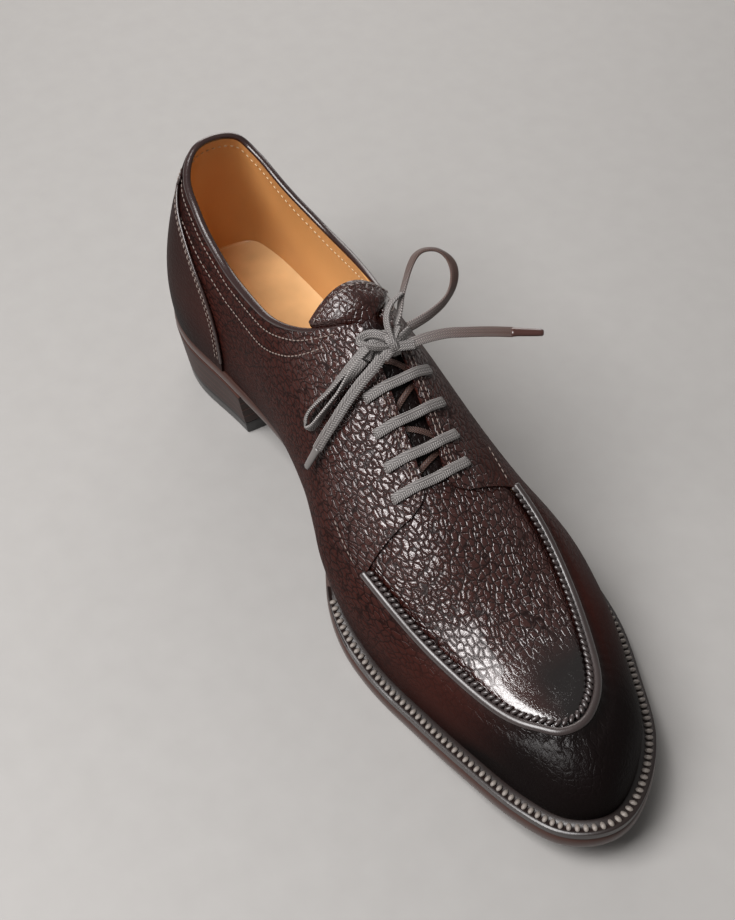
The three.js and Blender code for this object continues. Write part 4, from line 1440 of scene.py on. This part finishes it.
def tongue_row():
    """A row along the tongue's tip, only where it stands free of the collar."""
    u = np.linspace(0.05, 0.95, 400)
    x, t, w = tongue_places(u, 0 * u + TONGUE_TIP_ROW)
    lift = tongue_lift(u, x, t, w)
    free = lift > 3.6
    return last_line(t[free], w[free], lift[free] - TONGUE_DEPTH)


def welt_row():
    start = float(place_at(WELT_END, -1)) + 0.15
    t = np.linspace(start, TURN - start, 1200)
    points = feather_point(t, edge_offset(around("x", t)) * 0.5, feather_at(t) - FIT - 0.35)
    return points, np.tile(UP, (len(t), 1))


def make_stitches():
    end = float(place_at(FACING_TOP - 2, -1))
    facing_rows = [facing_row(side, inset) for side in (-1, 1) for inset in (1.5, 3.2)]
    facing_rows += [bar_tack(166.9, 0.419, 181.5, 0.394, -1), bar_tack(171.7, 0.588, 185.1, 0.613, 1)]
    counter_rows = [counter_row(side, inset) for side in (-1, 1) for inset in (1.9, 3.7)]
    return [
        stitches("topline_stitches", [edge_row(end, 4.2), edge_row(end, 10.5)], STITCH),
        stitches("facing_stitches", facing_rows, STITCH, width=0.45),
        stitches("counter_stitches", counter_rows, STITCH),
        stitches(
            "lining_stitches", [inside_row(end, 5.5)], LINING_STITCH, length=1.5, gap=1.0, width=0.5),
        stitches(
            "apron_stitches", [apron_row()], BEAD_CALF, length=3.3, gap=STITCH_PITCH - 3.3, width=1.9,
            height=1.5, sink=0.2, slant=0.75),
        stitches("tongue_stitches", [tongue_row()], STITCH, width=0.45, height=0.35),
        stitches(
            "welt_stitches", [welt_row()], WELT_THREAD, length=1.75, gap=0.95, width=3.1, height=1.15,
            sink=0.15, slant=0.12),
    ]


# Inside sock over the insole
SOCK_THICK = 0.6


def make_sock():
    bm = bmesh.new()

    def place(u, v):
        t = np.clip(u, 0.002, 0.998) * TOE
        level = feather_at(t) + INSOLE + 1.2 + 2.2 * (1 - smooth(around("x", t), 90, 150))
        inner, outer = (
            on_last(side, share_at_height(side, level), -(WALL + 0.1)) for side in (t, TURN - t))
        points = inner + (outer - inner) * v[:, None]
        edge = np.minimum(v, 1 - v) * np.linalg.norm(outer - inner, axis=1)
        points[:, 2] = level + np.exp(-edge / 3.0)
        return points

    add_sheet(bm, 150, 40, place)
    weld(bm)
    bmesh.ops.recalc_face_normals(bm, faces=bm.faces)
    if sum(face.normal.z * face.calc_area() for face in bm.faces) < 0:
        bmesh.ops.reverse_faces(bm, faces=bm.faces)
    bmesh.ops.solidify(bm, geom=bm.faces[:], thickness=SOCK_THICK * MM)
    return finish_mesh("sock_lining", bm, SOCK, 50)


# Every piece goes under the root, and the parts that it stands for are hidden
def put(piece, slot, *nodes):
    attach(piece, "root")
    if nodes:
        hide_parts(*nodes)
    return piece


put(make_quarters(), "grain_calf", "upper")
put(make_apron(), "grain_calf", "upper")
put(make_counter(), "grain_calf", "upper")
put(make_lining(), "tan_lining", "upper")
put(make_collar_roll(), "grain_calf", "upper")
put(make_apron_bead(), "grain_calf", "upper")
put(make_counter_bead(), "grain_calf", "upper")
put(make_tongue(), "tongue_calf", "tongue")
put(make_sock(), "tan_lining", "insole")
put(make_welt(), "welt_leather", "welt")
put(make_outsole(), "sole_leather", "outsole")
for block, slot, node in zip(make_heel(), ("heel_leather", "heel_rubber"), ("heel_stack", "top_piece")):
    put(block, slot, node)
for row in make_stitches():
    put(row, "grain_calf")
put(make_lace_bars(), "waxed_lace", "lace_bars")
knot = put(make_knot(), "waxed_lace", "lace_knot")
short_tip = aglet("aglet_short", BOW["lace_end_inner"], 9.5, GREY_AGLET)
long_tip = aglet("aglet_long", BOW["lace_end_outer"], 11, SHADED_AGLET)
aglets = {
    "lace_end_inner": put(short_tip, "aglet_film", "aglet_inner"),
    "lace_end_outer": put(long_tip, "aglet_film", "aglet_outer"),
}
for name, route in BOW.items():
    piece, points = free_lace(name, route)
    put(piece, "waxed_lace", name)
    on_it = [aglets[name]] if name in aglets else []
    if name == "lace_loop_upper":
        on_it.append(knot)
    tuple(in_frame(points[0]))
    "fitting" if name in aglets else "object"
    [tuple(p) for p in in_frame(points)]


# Floor, light and camera
FLOOR_SIZE = 6
ROOM_COLOUR = (0.5, 0.49, 0.48, 1)
ROOM_LIGHT = 0.4
LIT_MIDDLE = (0.11, 0, 0.05)


def studio_floor():
    bm = bmesh.new()
    bmesh.ops.create_grid(bm, x_segments=1, y_segments=1, size=FLOOR_SIZE)
    shade = Shade("floor")
    grain = shade.noise(shade.place(), 90, 2)
    tone = shade.mix(grain, (0.33, 0.32, 0.31), (0.36, 0.35, 0.34))
    finish_mesh("floor", bm, shade.finish(tone, 0.6))


def soft_light(name, position, size, power, colour):
    data = bpy.data.lights.new(name, "AREA")
    data.shape = "RECTANGLE"
    data.size, data.size_y = size
    data.energy = power
    data.color = colour
    lamp = bpy.data.objects.new(name, data)
    lamp.location = position
    lamp.rotation_euler = (Vector(LIT_MIDDLE) - Vector(position)).to_track_quat("-Z", "Y").to_euler()
    bpy.context.scene.collection.objects.link(lamp)


def studio_light():
    world = bpy.data.worlds.new("room")
    world.use_nodes = True
    room = world.node_tree.nodes["Background"].inputs
    room["Color"].default_value = ROOM_COLOUR
    room["Strength"].default_value = ROOM_LIGHT
    bpy.context.scene.world = world
    bpy.context.scene.view_settings.view_transform = "Standard"
    soft_light("key", (0.11, -0.55, 0.92), (0.62, 0.74), 17.5, (1, 0.985, 0.98))
    soft_light("back_fill", (-0.85, 0.5, 0.4), (0.9, 0.6), 5, (1, 0.95, 0.92))


# The camera looks at the shoe from above its toe and inner side, as the photograph does
VIEW_AZIMUTH = math.radians(64.21)
VIEW_HEIGHT = math.radians(48.42)
VIEW_ROLL = math.radians(-3.5)
VIEW_DISTANCE = 546.18
VIEW_TARGET = np.array([140.0, -7.69, 42.17])
VIEW_FOCAL = 1500 / 920
SENSOR = 24


def photograph_camera():
    back = Vector((
        math.sin(VIEW_AZIMUTH) * math.cos(VIEW_HEIGHT), -math.cos(VIEW_AZIMUTH) * math.cos(VIEW_HEIGHT),
        math.sin(VIEW_HEIGHT)))
    right = Vector((math.cos(VIEW_AZIMUTH), math.sin(VIEW_AZIMUTH), 0))
    up = back.cross(right)
    turned_right = right * math.cos(VIEW_ROLL) + up * math.sin(VIEW_ROLL)
    turned_up = up * math.cos(VIEW_ROLL) - right * math.sin(VIEW_ROLL)
    data = bpy.data.cameras.new("camera")
    data.sensor_fit = "VERTICAL"
    data.sensor_height = SENSOR
    data.lens = SENSOR * VIEW_FOCAL
    data.clip_start = 0.01
    camera = bpy.data.objects.new("camera", data)
    place = Vector(in_frame(VIEW_TARGET)) + back * VIEW_DISTANCE * MM
    turn = Matrix((turned_right, turned_up, back)).transposed().to_4x4()
    camera.matrix_world = Matrix.Translation(place) @ turn
    bpy.context.scene.collection.objects.link(camera)
    bpy.context.scene.camera = camera


studio_floor()
studio_light()
photograph_camera()
